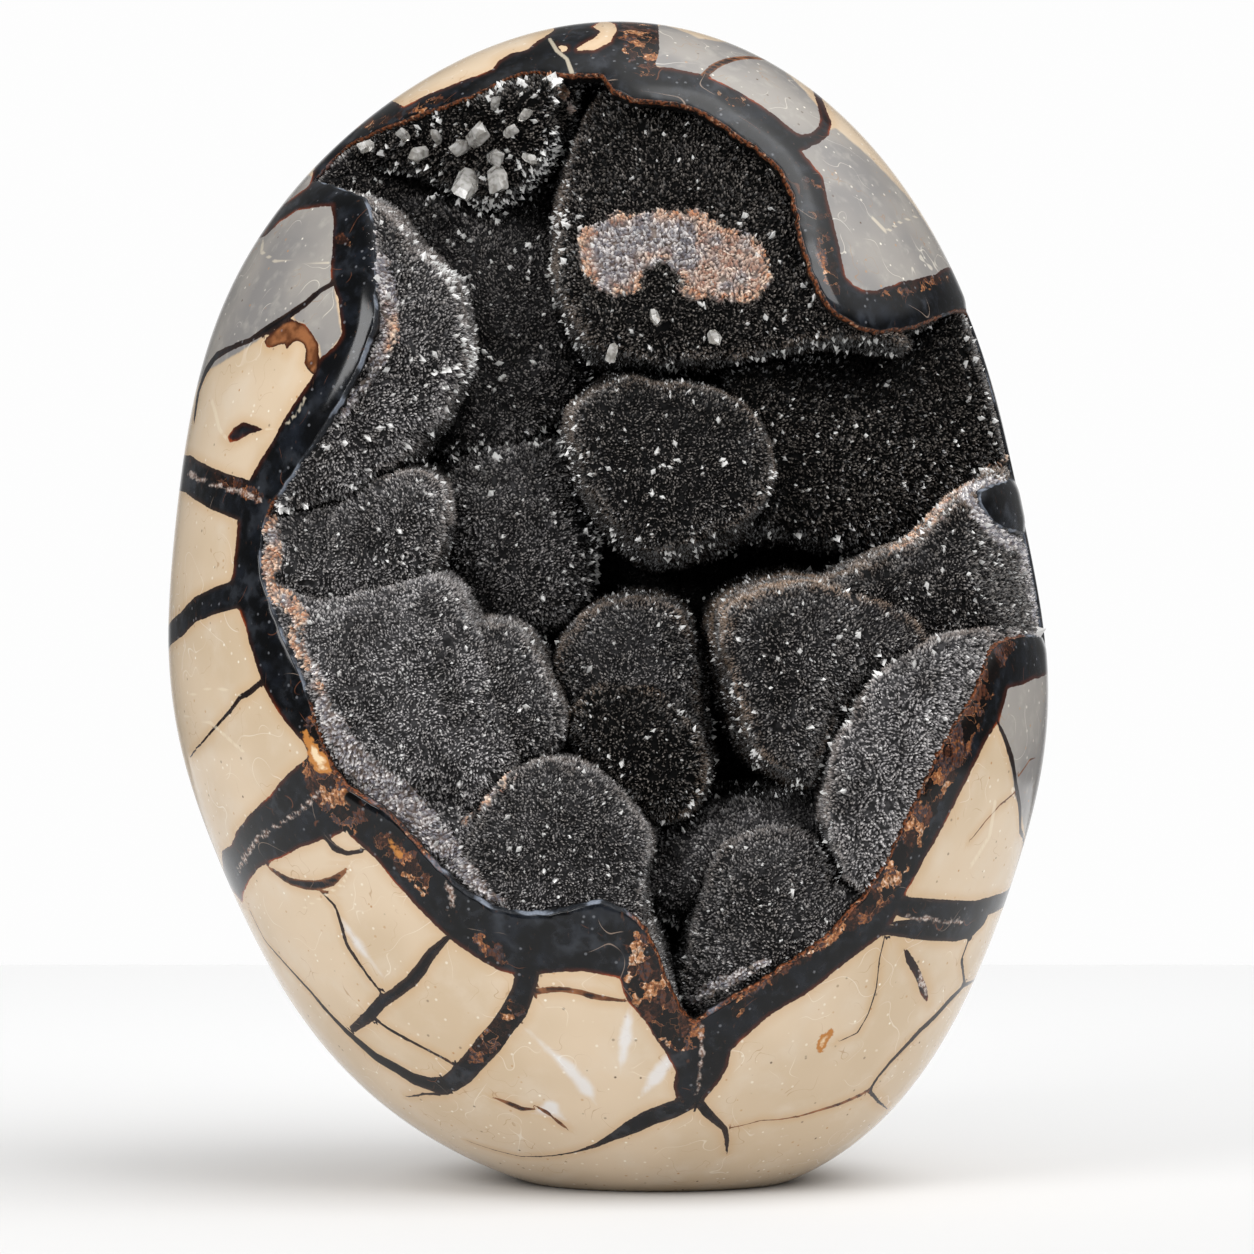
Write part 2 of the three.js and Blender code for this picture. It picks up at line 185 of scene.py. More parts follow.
def mouth_depth(x, y, z):
    """How far a point of the skin lies inside the mouth, negative on the stone."""
    floor = FLOOR_Y + FLOOR_SLOPE_X * x + FLOOR_SLOPE_Z * z + CRUST
    return np.minimum(polygon_depth(x, z, mouth_outline), floor - y)


def chipped_mouth_depth(points):
    """The same with chips, at points of an array whose last axis is x, y and z."""
    depth = mouth_depth(points[..., 0], points[..., 1], points[..., 2])
    near = np.abs(depth) < CHIP_REACH
    depth[near] += CHIP_DEPTH * wander(points[near], CHIP_LENGTH)
    return depth


def cut_skin():
    """Points and triangles of the egg without its mouth. Points near the cut are moved onto it."""
    fine = np.linspace(-math.pi / 2, math.pi / 2, OUTLINE_STEPS)
    steps = np.diff(np.stack(outline_point(fine)), axis=1)
    length = np.concatenate([[0], np.cumsum(np.hypot(*steps))])
    latitudes = np.interp(np.linspace(0, length[-1], EGG_LEVELS + 1), length, fine)[1:-1]
    front = np.linspace(0, math.pi, FRONT_SEGMENTS, endpoint=False)
    back = np.linspace(math.pi, 2 * math.pi, BACK_SEGMENTS + 1)
    turns = np.concatenate([front, back])
    rows, columns = len(latitudes), len(turns) - 1
    row, column = np.indices((rows, columns)).astype(float)

    def place(row, column):
        latitude = np.interp(row, np.arange(rows), latitudes)
        turn = np.interp(column % columns, np.arange(columns + 1), turns)
        return egg_point(latitude, turn, SKIN_INSET)

    # Each point near the cut slides along the shortest edge, straight or slanting, that crosses it.
    depth = chipped_mouth_depth(place(row, column))
    shortest = np.full(depth.shape, np.inf)
    move = np.zeros(depth.shape + (2,))
    for down, across in ((0, 1), (1, 0), (1, 1)):
        here = depth[: rows - down]
        there = np.roll(depth, -across, axis=1)[down:]
        crossing = (here > 0) != (there > 0)
        share = np.where(crossing, here / np.where(crossing, here - there, 1), 0)
        first = np.full(depth.shape, np.inf)
        first[: rows - down] = np.where(crossing & (share < 0.5), share, np.inf)
        second = np.full(depth.shape, np.inf)
        second[down:] = np.roll(np.where(crossing & (share >= 0.5), 1 - share, np.inf), across, axis=1)
        for amount, sign in ((first, 1), (second, -1)):
            better = amount < shortest
            shortest[better] = amount[better]
            move[better] = sign * amount[better][:, None] * (down, across)
    moved = np.isfinite(shortest)
    points = place(row + move[..., 0], column + move[..., 1])
    state = np.where(moved, 0, np.sign(depth)).astype(int).ravel()

    number = np.arange(rows * columns).reshape(rows, columns)
    a, d = number[:-1], number[1:]
    b, c = np.roll(a, -1, axis=1), np.roll(d, -1, axis=1)
    triangles = np.concatenate([np.stack(three, -1).reshape(-1, 3) for three in ([a, d, c], [a, c, b])])
    low_pole, high_pole = rows * columns, rows * columns + 1
    for pole, ring in ((low_pole, number[0]), (high_pole, number[-1])):
        fan = np.stack([np.full(columns, pole), ring, np.roll(ring, -1)], -1)
        triangles = np.concatenate([triangles, fan if pole == low_pole else fan[:, [0, 2, 1]]])
    poles = np.stack([egg_point(angle, 0.0, SKIN_INSET) for angle in (-math.pi / 2, math.pi / 2)])
    points = np.concatenate([points.reshape(-1, 3), poles])
    state = np.concatenate([state, [-1, -1]])

    # A triangle goes if a corner is in the mouth, or if all are on the cut and its middle is in the mouth.
    corner_states = state[triangles]
    on_cut = (corner_states == 0).all(axis=1)
    gone = (corner_states > 0).any(axis=1)
    middles = points[triangles[on_cut]].mean(axis=1)
    gone[on_cut] = mouth_depth(middles[:, 0], middles[:, 1], middles[:, 2]) > 0
    triangles = triangles[~gone]
    used, triangles = np.unique(triangles, return_inverse=True)
    points = points[used]
    points[:, 2] = np.maximum(points[:, 2], 0)
    return points, triangles.reshape(-1, 3)


def open_edge(triangles, count):
    """The points of the longest open edge, in order, with the faces on its left."""
    edges = np.concatenate([triangles[:, [0, 1]], triangles[:, [1, 2]], triangles[:, [2, 0]]])
    code = edges[:, 0] * count + edges[:, 1]
    open_ones = edges[~np.isin(code, edges[:, 1] * count + edges[:, 0])]
    following = dict(open_ones.tolist())
    loops = []
    while following:
        loop = [next(iter(following))]
        while loop[-1] in following:
            loop.append(following.pop(loop[-1]))
        loops.append(loop[:-1])
    return np.array(max(loops, key=len))


def point_normals(points, triangles):
    """The way each point's triangles face, larger ones counting for more."""
    a, b, c = (points[triangles[:, k]] for k in range(3))
    across = np.cross(b - a, c - a)
    normals = np.zeros_like(points)
    for k in range(3):
        np.add.at(normals, triangles[:, k], across)
    return normals / np.maximum(np.linalg.norm(normals, axis=1, keepdims=True), 1e-12)


def unit(vectors):
    """The same ways with a length of 1."""
    return vectors / np.maximum(np.linalg.norm(vectors, axis=-1, keepdims=True), 1e-9)


skin, skin_triangles = cut_skin()
rounding = np.clip(1 + mouth_depth(*skin.T) / BEVEL, 0, 1) ** 2
skin = skin - point_normals(skin, skin_triangles) * (BEVEL_DROP * rounding)[:, None]
rim = open_edge(skin_triangles, len(skin))
rim_normals = point_normals(skin, skin_triangles)[rim]
tangent = unit(np.roll(skin[rim], -RIM_SMOOTH, axis=0) - np.roll(skin[rim], RIM_SMOOTH, axis=0))
into_mouth = np.cross(tangent, rim_normals)
for _ in range(RIM_SMOOTH):
    into_mouth = unit(into_mouth + np.roll(into_mouth, 1, axis=0) + np.roll(into_mouth, -1, axis=0))
teeth = 1 + RIM_TEETH * wander(skin[rim], TOOTH_LENGTH, seed=3.0)
backwards = unit(np.array([0.0, 1.0, 0.0]) * (1 - RIM_LEAN) - rim_normals * RIM_LEAN)

rings = [rim]
stone_points = [skin]
stone_triangles = [skin_triangles]
rim_depth = [np.zeros(len(skin))]
for out, down in RIM_RINGS:
    ring = skin[rim] + into_mouth * (out * teeth)[:, None] + backwards * (down * teeth)[:, None]
    number = np.arange(len(rim)) + sum(len(part) for part in stone_points)
    last, turned = rings[-1], np.roll(number, -1)
    stone_triangles.append(np.stack([last, turned, np.roll(last, -1)], -1))
    stone_triangles.append(np.stack([last, number, turned], -1))
    stone_points.append(ring)
    rim_depth.append(np.full(len(rim), down))
    rings.append(number)
stone_points = np.concatenate(stone_points)
stone_triangles = np.concatenate(stone_triangles)
rim_depth = np.concatenate(rim_depth)


def make_mesh(name, points, triangles, smooth=True):
    """A mesh object at the origin from points in millimetres and triangles that face outwards."""
    mesh = bpy.data.meshes.new(name)
    mesh.vertices.add(len(points))
    mesh.vertices.foreach_set("co", (np.asarray(points) * MM).astype(np.float32).ravel())
    mesh.loops.add(triangles.size)
    mesh.loops.foreach_set("vertex_index", triangles.astype(np.int32).ravel())
    mesh.polygons.add(len(triangles))
    mesh.polygons.foreach_set("loop_start", np.arange(0, triangles.size, 3, dtype=np.int32))
    mesh.polygons.foreach_set("use_smooth", np.full(len(triangles), smooth))
    mesh.update(calc_edges=True)
    obj = bpy.data.objects.new(name, mesh)
    bpy.context.scene.collection.objects.link(obj)
    return obj


def add_values(obj, values):
    """For each name, one number for each point, which a material reads by that name."""
    for name, numbers in values.items():
        layer = obj.data.attributes.new(name, "FLOAT", "POINT")
        layer.data.foreach_set("value", numbers.astype(np.float32))


polished_stone = make_mesh("polished_stone", stone_points, stone_triangles)

# ---- the polished stone: its veins ----
# Cracks that opened as the mud ball dried, filled with black calcite. Each is where it shows on the
# polished skin: the broad ones as outlines, the others as lines of (x, z, half width).

BAND = [  # the broad band round the mouth, with its branches
    (-80.5, 187.5), (-76.5, 193), (-72.5, 195), (-69, 197), (-68, 203), (-71.5, 206), (-57.5, 219),
    (-54, 215.5), (-50, 212.5), (-47, 214), (-43, 215.5), (-39, 217), (-35.5, 218), (-32.5, 219.5),
    (-31.5, 221.5), (-29, 223), (-26, 223.5), (-23.5, 226), (-21, 228), (-19.5, 234), (0.5, 235),
    (-0.5, 231), (0, 226.5), (-1, 222.5), (-3, 219.5), (2, 219), (8, 218), (14.5, 215), (19.5, 212),
    (24.5, 208), (27, 206), (29.5, 206.5), (31, 208), (31.5, 210), (30.5, 217.5), (32, 216.5),
    (33, 212.5), (34, 209.5), (33, 206.5), (31, 204.5), (27.5, 202.5), (29, 200.5), (31.5, 197.5),
    (32.5, 191.5), (34, 185.5), (34.5, 183.5), (35.5, 177.5), (37, 176), (39, 175), (41.5, 175),
    (46.5, 177), (49.5, 178), (54, 179.5), (56, 181), (58.5, 182), (59.5, 180.5), (60.5, 178),
    (65.5, 167), (68.5, 157), (88.5, 156), (88.5, 102.5), (78, 101.5), (72.5, 100), (67.5, 98.5),
    (66.5, 95.5), (65.5, 92.5), (62.5, 88), (58, 79.5), (54.5, 72.5), (51, 67), (47, 59.5),
    (46.5, 58), (45, 55), (43, 52), (38, 48.5), (34, 45.5), (30.5, 42.5), (26.5, 40), (20, 36),
    (16, 32.5), (13.5, 30), (13, 27), (11.5, 24), (10, 22), (8.5, 20), (6, 18.5), (3, 20.5),
    (2.5, 23), (3, 26), (1.5, 29), (-1, 32.5), (-3, 36), (-6, 39.5), (-7, 42), (-7.5, 44.5),
    (-11.5, 45), (-14.5, 45.5), (-19, 45.5), (-22.5, 45), (-27, 45), (-30.5, 45.5), (-35, 48),
    (-40, 51.5), (-46, 57.5), (-51, 63), (-54, 66.5), (-56.5, 69), (-59, 71), (-59.5, 72),
    (-62.5, 70.5), (-68.5, 68.5), (-72, 66.5), (-75.5, 65), (-78, 63.5), (-80, 61), (-81.5, 58.5),
    (-82, 56), (-86.5, 60), (-86, 66.5), (-83.5, 68), (-82, 71), (-79.5, 74), (-78, 75.5), (-75, 78),
    (-71.5, 82), (-68.5, 84.5), (-66.5, 86), (-68, 89), (-70.5, 91.5), (-72.5, 94), (-74.5, 97),
    (-76, 100), (-78, 106), (-79.5, 111), (-81, 114), (-82.5, 119), (-82, 121.5), (-81.5, 126.5),
    (-81, 131), (-81.5, 135), (-79, 138.5), (-77, 142), (-74.5, 145.5), (-72, 150), (-70, 153),
    (-67.5, 156.5), (-66, 158.5), (-65, 161.5), (-62, 164), (-60.5, 166), (-61, 169), (-61.5, 173),
    (-62.5, 175.5), (-63, 177.5), (-63, 183), (-63, 188), (-63.5, 192), (-67, 192), (-70.5, 192),
    (-74.5, 190), (-77.5, 187.5),
]
CRESCENT = [  # a brown arc beside the grey block at the left
    (-76.5, 165.5), (-74.5, 167.5), (-72.5, 169), (-70.5, 169.5), (-68, 168.5), (-66.5, 166.5),
    (-65, 164), (-65, 161.5), (-65.5, 158.5), (-67, 159), (-68, 161), (-67.5, 163.5), (-68.5, 165),
    (-69.5, 165.5), (-71, 164.5), (-71.5, 163), (-72, 165), (-74, 164.5), (-75.5, 164),
]
ALMOND = [  # two short thick ones, which stand alone
    (-84, 147), (-82.5, 149), (-80.5, 150), (-78.5, 149.5), (-75.5, 148.5), (-79, 147.5), (-81, 146.5),
    (-83, 146),
]
LOZENGE = [(46.5, 49.5), (48, 48), (50.5, 44), (52, 40), (52.5, 37), (51, 38.5), (49.5, 42.5), (47.5, 46)]
ISLANDS = [  # mudstone left standing in the black calcite at the top
    [(-16, 223.5), (-15, 224.5), (-12.5, 226), (-11.5, 227.5), (-13, 229), (-11, 231.5), (-8.5, 229.5),
     (-8.5, 227.5), (-9.5, 225), (-12.5, 223), (-16, 223)],
    [(-20, 224.5), (-18, 224), (-18, 223), (-19, 222.5)],
]
FRONT_VEINS = {
    "left pair": [(-76, 134, 3.2), (-80.5, 135, 4), (-86, 137, 3.8), (-92.5, 140.5, 3.6),
                  (-95.5, 141.5, 3.6)],
    "left": [(-80.5, 117, 2.8), (-86, 115.5, 2.6), (-90, 114, 2.4), (-93.5, 111, 2.4), (-98, 107, 2.6)],
    "left hair": [(-76, 100, 0.6), (-78.5, 98, 0.6), (-80.5, 97, 0.5), (-82.5, 94.5, 0.4),
                  (-85.5, 91.5, 0.3), (-88.5, 88.5, 0.24), (-92, 85, 0.16)],
    "left top": [(-61, 177, 0.6), (-65, 175, 0.6), (-68, 172.5, 0.8), (-72, 170, 0.9), (-75.5, 168, 1),
                 (-79.5, 166, 0.6), (-83, 165, 0.6), (-87, 163.5, 1), (-89.5, 160.5, 1.4),
                 (-91, 157, 1.4), (-91.5, 152, 1)],
    "first branch": [(-40.5, 51.5, 0.6), (-43.5, 48.5, 1), (-45.5, 45.5, 1.2), (-47.5, 43, 1.2),
                     (-50.5, 40.5, 1.1), (-53.5, 38.5, 1.2), (-56, 35.5, 1.2), (-59.5, 32.5, 0.8)],
    "lower": [(-80.5, 55, 0.16), (-77.5, 49, 0.2), (-74, 45.5, 0.3), (-71, 42.5, 0.36), (-68, 39.5, 0.44),
              (-65, 36, 0.5), (-61, 32, 0.8), (-58, 29.5, 1.2), (-55, 27, 1.4), (-51, 25, 1.6),
              (-47.5, 23, 1.8), (-43.5, 22, 2), (-40.5, 22.5, 1.8)],
    "lower tail": [(-41, 20.5, 0.4), (-45.5, 20, 0.3), (-49, 19, 0.12)],
    "lower hair": [(-55, 35, 0.3), (-52, 33, 0.36), (-49, 31.5, 0.36), (-45, 29.5, 0.3), (-41, 27.5, 0.3),
                   (-39.5, 26.5, 0.2)],
    "upper hair": [(-65, 60, 0.16), (-62, 57, 0.3), (-61, 53.5, 0.4), (-60, 49.5, 0.4), (-58, 46.5, 0.36),
                   (-55.5, 43, 0.24), (-53.5, 40.5, 0.24)],
    "brown crescent": [(-75.5, 64, 0.3), (-73, 62.5, 0.6), (-71, 61.5, 0.8), (-68, 61, 1), (-65.5, 61, 1),
                       (-62.5, 62, 0.9), (-60, 64, 0.4)],
    "isle": [(-63.5, 70.5, 0.6), (-62, 68.5, 0.8), (-59.5, 67.5, 0.5), (-56.5, 68, 0.3)],
    "second branch": [(-25, 45, 2.2), (-26, 41.5, 2.2), (-27.5, 38, 2.4), (-30, 34.5, 2.2),
                      (-32.5, 31, 2.4), (-35.5, 27.5, 2.2), (-38, 24.5, 2.2), (-40.5, 22.5, 2)],
    "brown hair": [(-23.5, 41.5, 0.6), (-21, 42, 0.6), (-18, 42, 0.5), (-15, 41.5, 0.6),
                   (-11.5, 40.5, 0.6), (-7, 40, 0.2)],
    "bottom": [(5.5, 19.5, 1.8), (2, 18, 2.2), (-2, 16.5, 2), (-5.5, 14.5, 1.8), (-9, 12.5, 1),
               (-12.5, 10.5, 0.5), (-16.5, 9, 0.24), (-21, 8, 0.16), (-27, 7.5, 0.12), (-32, 8.5, 0.1),
               (-37, 10, 0.08)],
    "spur": [(7.5, 19.5, 1), (9, 17.5, 1), (11, 15.5, 0.8), (12.5, 14, 0.6), (13, 11.5, 0.4),
             (13, 9, 0.2)],
    "speck": [(-31.5, 20, 0.2), (-29, 19, 0.6), (-26.5, 18, 0.6), (-24, 18, 0.2)],
    "second speck": [(-23.5, 18.5, 0.2), (-22, 17.6, 0.5), (-20.5, 16.4, 0.15), (-19.2, 15.2, 0.5),
                     (-18, 14.2, 0.2)],
    "right upper": [(46.5, 57, 2), (52, 56, 2.4), (57, 55.2, 2.6), (60.5, 55, 2.4), (65, 56, 2),
                    (70, 58, 2.4)],
    "right lower": [(43, 52.5, 0.8), (47, 52.5, 1.6), (52, 52, 2), (57.5, 51.2, 1.8), (61, 51.5, 1.8),
                    (63.5, 53.5, 1.8)],
    "right curve": [(65.5, 91.5, 0.4), (67, 88.5, 0.6), (68.5, 84.5, 0.7), (69.5, 79.5, 0.6),
                    (70.5, 75.5, 0.7), (71, 70.5, 0.6), (72.5, 66, 0.4), (72, 63, 0.4), (70.5, 59, 0.6)],
    "right hair": [(77.5, 87, 0.12), (72.5, 84.5, 0.16), (70, 81.5, 0.2)],
    "second right hair": [(69.5, 78.5, 0.2), (66, 76, 0.18), (63, 73, 0.16), (60, 69.5, 0.1)],
    "third right hair": [(61, 51, 0.3), (60, 48.5, 0.3), (59, 45.5, 0.3), (59.5, 43, 0.36),
                         (60, 40.5, 0.4)],
    "right line": [(68.5, 49, 0.2), (66.5, 45, 0.2), (64, 41.5, 0.3), (60, 40, 0.6), (57, 37.5, 0.8),
                   (54, 34.5, 0.8), (51, 32, 0.7), (48, 29, 0.6), (45, 26, 0.5), (42.5, 23, 0.4),
                   (41, 20.5, 0.3)],
    "right tail": [(41, 20.5, 0.3), (39, 19.5, 0.4), (35, 18, 0.4), (31, 17, 0.3), (27, 16, 0.2),
                   (23, 15.5, 0.14), (19.5, 15.5, 0.1), (15.5, 14.5, 0.1), (12.5, 14, 0.08)],
    "right spur": [(41, 20, 0.4), (43, 17.5, 0.3), (45, 15.5, 0.1)],
    "fourth right hair": [(43, 51.5, 0.14), (42, 47, 0.14), (41.5, 41, 0.14), (40, 36, 0.14),
                          (38, 32.5, 0.16), (34.5, 31, 0.08)],
    "top right": [(7.5, 216.5, 0.3), (9, 218, 0.7), (11, 220, 0.8), (13.5, 221.5, 0.7),
                  (16.5, 222.5, 0.6), (19.5, 223, 0.6), (23.5, 223.5, 0.2)],
    "top": [(-4.5, 219.5, 3.6), (-4, 224, 4), (-4, 232, 3.8)],
}
BACK_VEINS = {  # and on the back, from where the front ones reach the egg's outline: x still to the right
    "top": [(-4, 232, 3.8), (-2, 222, 3.2), (2, 208, 2.4), (0, 194, 1.8), (-6, 182, 1.4)],
    "upper left": [(-6, 182, 1.4), (-24, 172, 1.2), (-40, 158, 1.3), (-52, 148, 1.6)],
    "left pair": [(-95.5, 141.5, 3.6), (-84, 143, 3.2), (-70, 146, 2.4), (-52, 148, 1.8)],
    "top left": [(-64.5, 212.5, 3.8), (-57, 203, 3.4), (-48, 194, 2.2), (-36, 183, 1.4), (-24, 172, 1.2)],
    "top left fan": [(-69.5, 208, 3.8), (-61, 202, 2.8), (-50, 196, 1.6)],
    "second top left fan": [(-60, 217, 3.8), (-56, 208, 3.2), (-50, 197, 2)],
    "grey left": [(-78.5, 190.3, 3.8), (-72, 185, 2.6), (-62, 176, 1.6), (-50, 166, 1), (-40, 158, 1.2)],
    "upper right": [(-6, 182, 1.4), (14, 176, 1.2), (34, 172, 1.6), (50, 175, 2.2), (61.5, 176, 3.2)],
    "middle left": [(-52, 148, 1.8), (-48, 130, 1.4), (-40, 112, 1.2), (-44, 96, 1), (-52, 84, 1.4)],
    "left": [(-98, 107, 2.6), (-90, 104, 2.2), (-78, 98, 1.6), (-64, 90, 1.2), (-52, 84, 1.2)],
    "lower left": [(-85, 61, 4), (-80, 64, 3.6), (-68, 72, 2.4), (-52, 84, 1.6)],
    "middle right": [(-40, 112, 1.2), (-22, 108, 1), (-2, 112, 1.4), (16, 108, 1.6), (34, 112, 2),
                     (52, 108, 2.6), (70, 104, 3.4), (78, 101.5, 3.8)],
    "middle": [(-2, 112, 1.4), (2, 130, 0.9), (-4, 148, 0.7), (-2, 166, 0.9), (-6, 182, 1.2)],
    "lower right": [(16, 108, 1.6), (20, 92, 1.2), (14, 76, 1), (18, 60, 1.3), (30, 48, 1.6)],
    "right": [(70, 58, 2.4), (60, 52, 2), (46, 50, 1.6), (30, 48, 1.6)],
    "bottom": [(30, 48, 1.6), (16, 38, 1.3), (0, 30, 1.6), (-14, 22, 2), (-24, 12, 1.2), (-28, 3, 0.6)],
    "lower middle": [(-52, 84, 1.2), (-46, 66, 0.8), (-40, 50, 0.8), (-28, 36, 1), (-14, 22, 1.4)],
    "right edge": [(20, 92, 0.7), (38, 86, 0.7), (56, 84, 0.7), (70, 82, 0.6)],
    "left hair": [(-78, 98, 0.6), (-72, 118, 0.7), (-66, 132, 0.7), (-60, 147, 0.6)],
    "top hair": [(1, 200, 0.6), (18, 204, 0.7), (30, 212, 0.6), (33, 216, 0.5)],
}
SWAY = 4.0  # the veins of the back sway by up to this much
SWAY_LENGTH = 13.0  # in bends of this length
SWAY_START = 8.0  # and come to it over this depth, so that they meet the front's at the egg's outline
SHOULDER_BAND = 5.0  # black calcite beside the mouth where it is open round the right shoulder
SHOULDER_RIM = (50, 100)  # the rim there is to the right of this x and above this z
SHOULDER_SIDE = 45  # and its black calcite is on the skin to the right of this x
PLAIN_RIM = (55, 100, 172)  # to the right of this x and between these heights the rim isn't rusty
RUSTY_RIM = ((10, 8), (198, 5))  # elsewhere it is past an x or a z, over this width
GREY_FRONT = [  # blocks of grey mudstone, seen from the front
    [(-86.5, 196), (-73.5, 202), (-61, 196), (-61, 176), (-69, 171.5), (-79, 165), (-89.5, 160.5),
     (-93.5, 156), (-107.5, 160), (-91.5, 180)],
    [(-62.5, 177), (-60.5, 166), (-64.5, 161), (-65, 164.5), (-68, 168.5), (-70.5, 169.5), (-69, 172.5)],
    [(-4, 220.5), (0.5, 230.5), (8, 226.5), (16.5, 226.5), (23.5, 223), (28.5, 216.5), (32, 212),
     (32.5, 208), (30, 204.5), (27, 205), (17.5, 211.5), (8, 216.5)],
    [(27, 203), (34.5, 208.5), (41.5, 202.8), (48.8, 196), (54, 189), (58.5, 182), (58.5, 176),
     (41.5, 173), (35, 175), (33, 184.5), (31, 194.5)],
    [(65.5, 99.5), (78, 103), (88.5, 104), (88.5, 78), (77.5, 78), (73, 68), (69, 79), (67.5, 87.5),
     (65, 92)],
]
GREY_BACK = [  # and on the back
    [(-110, 158), (-92, 141), (-52, 148), (-40, 158), (-24, 172), (-6, 182), (0, 194), (-4, 240),
     (-70, 235)],
    [(90, 102), (78, 101.5), (52, 108), (34, 112), (16, 108), (20, 92), (38, 86), (56, 84), (90, 80)],
]
RUSTY = [  # where the calcite is golden, brown and cream: x, z and half width
    [(67.7, 106.8, 1.2), (63.7, 103.3, 2), (59.7, 93.3, 2.2), (55.7, 85.3, 2.4), (51.7, 78.3, 2.2),
     (47.7, 70.3, 2), (41.7, 59.3, 2.2), (34, 53.5, 1.8), (28.5, 49.5, 1.5), (21, 44.7, 1.3),
     (14, 37.5, 0.8)],
    [(-4.5, 52, 1.6), (-3, 44, 3.2), (0, 38, 3.4), (4.5, 33.5, 3.4)],
    [(-65.5, 91, 2), (-63.5, 84, 4.6), (-61, 78, 4), (-57.5, 74, 2.6)],
    [(-52, 70, 2), (-48, 66.5, 2.2), (-44, 61, 1.2)],
    [(-34, 51, 1.2), (-29.5, 48, 1)],
    [(-4, 229, 3.2), (-4, 224, 3), (-2.5, 220, 2)],
    [(12, 213.5, 0.4), (16, 211.5, 0.7)],
    [(28, 196, 0.5), (33, 194.5, 0.6)],
    [(29, 190, 0.7), (34, 189.5, 0.7)],
    [(31, 186, 1), (32, 180, 1.2), (33.5, 175, 1)],
    [(44, 174.5, 0.6), (57, 179, 0.6)],
    [(-27.5, 38, 1.6), (-31, 33, 2), (-35.5, 28.5, 1.2)],
    [(-63, 186, 0.5), (-60, 184.5, 0.3)],
    [(-59, 209.5, 1), (-50, 210.5, 0.6), (-43, 213.5, 0.4)],
    [(-86, 139.5, 0.9), (-80.5, 137, 1.1), (-76, 134.8, 0.8)],
]
BROWN_VEINS = {
    "brown crescent", "brown hair", "top right", "right hair", "second right hair", "speck",
    "second speck", "right tail",
}
PALE_IN_VEINS = [  # thin pale lines that run in the black calcite
    [(-82, 63, 0.15), (-79.5, 67.5, 0.2), (-76.5, 70.5, 0.3), (-73, 72.5, 0.2), (-69.5, 75, 0.2),
     (-66.5, 77.5, 0.1), (-64.5, 79.5, 0)],
    [(-92, 140.5, 0.3), (-89, 139, 0.2), (-86, 138, 0.15), (-80.5, 136.5, 0.2), (-76, 134.5, 0.1)],
    [(46.5, 55, 0), (51, 54.5, 0.1), (55, 53.5, 0.15), (60, 53.5, 0)],
    [(7.5, 35, 0), (8, 30, 0.1), (7.5, 25, 0.05), (7, 21, 0)],
    [(50.2, 43.6, 0.1), (51, 41.5, 0.6), (51.8, 39.4, 0.1)],
    [(-40.5, 62.5, 0.05), (-39, 59.5, 0.1), (-40, 56.5, 0)],
]
SMEARS = [  # bluish white smears painted over the beige stone's colour
    [(-5.5, 40, 0), (-6, 36.5, 1.1), (-6.8, 32, 1.5), (-7.3, 28.5, 0.9), (-7.5, 25, 0)],
    [(-27, 35.5, 0), (-22, 31, 0.8), (-16.5, 25.5, 1.5), (-14, 22.5, 1.7), (-12, 19, 0)],
    [(3.5, 32, 0), (1.5, 28, 1.6), (-1, 24.5, 1.7), (-4.5, 20, 0)],
    [(-25, 17, 0), (-21, 18.3, 1.9), (-17.5, 15.5, 0)],
    [(-62.5, 57, 0), (-58, 50, 1.2), (-52.5, 43, 0)],
]
FLAWS = [  # hairlines of white calcite in the stone
    [(-78, 186.5, 0.06), (-78, 184, 0.1), (-74.5, 181.5, 0.12), (-69.5, 181, 0.12), (-63.5, 180.5, 0.06)],
    [(-87.5, 155, 0.08), (-86.5, 152.5, 0.1), (-85.5, 149, 0.1), (-83.5, 146.5, 0.06)],
    [(-75.5, 148.5, 0.08), (-71.5, 149, 0.1), (-69, 151.5, 0.1), (-67.5, 154.5, 0.06)],
    [(-21.5, 226, 0.1), (-20, 223, 0.15), (-18, 221, 0.1), (-17, 218, 0.2)],
    [(-92, 97, 0.05), (-86, 99, 0.08), (-80.5, 97.5, 0.05)],
    [(-93, 93, 0.05), (-87, 92, 0.08), (-80, 86.5, 0.05)],
    [(41, 190, 0.05), (44, 187, 0.1), (47, 189.5, 0.1), (52, 192, 0.06)],
    [(-58.5, 66, 0.05), (-60.5, 61.5, 0.1), (-69, 56, 0.05)],
    [(65, 77, 0.08), (64, 70, 0.1), (60, 64, 0.06)],
]
GOLDEN_SPOTS = [  # golden crystals with a cream heart
    [(30.5, 29.5, 0.6), (31.5, 31.5, 1), (33, 33, 0.5)],
    [(-67.3, 90.5, 0.4), (-66, 87.5, 1.1), (-64.5, 84.8, 1.6), (-63, 83, 0.8)],
    [(-61.5, 86.5, 0.3), (-63, 84, 0.9)],
    [(-51.5, 70.5, 0.3), (-49.5, 67.5, 0.7)],
]
PIT = [(-58.7, 78.3, 1.3), (-58.2, 77.8, 1.3)]  # a hole in the golden crystals at the lower left, painted near black as its shade
FAR = 9.0  # distances past this are all the same to the pattern, so no half width comes near it


def plane_line_depth(x, z, line):
    """How far points lie inside a line of (x, z, half width), negative outside it."""
    best = np.full(np.shape(x), -FAR)
    for (ax, az, aw), (bx, bz, bw) in zip(line, line[1:]):
        share = ((x - ax) * (bx - ax) + (z - az) * (bz - az)) / ((bx - ax) ** 2 + (bz - az) ** 2)
        share = np.clip(share, 0, 1)
        distance = np.hypot(x - ax - share * (bx - ax), z - az - share * (bz - az))
        best = np.maximum(best, aw + share * (bw - aw) - distance)
    return best


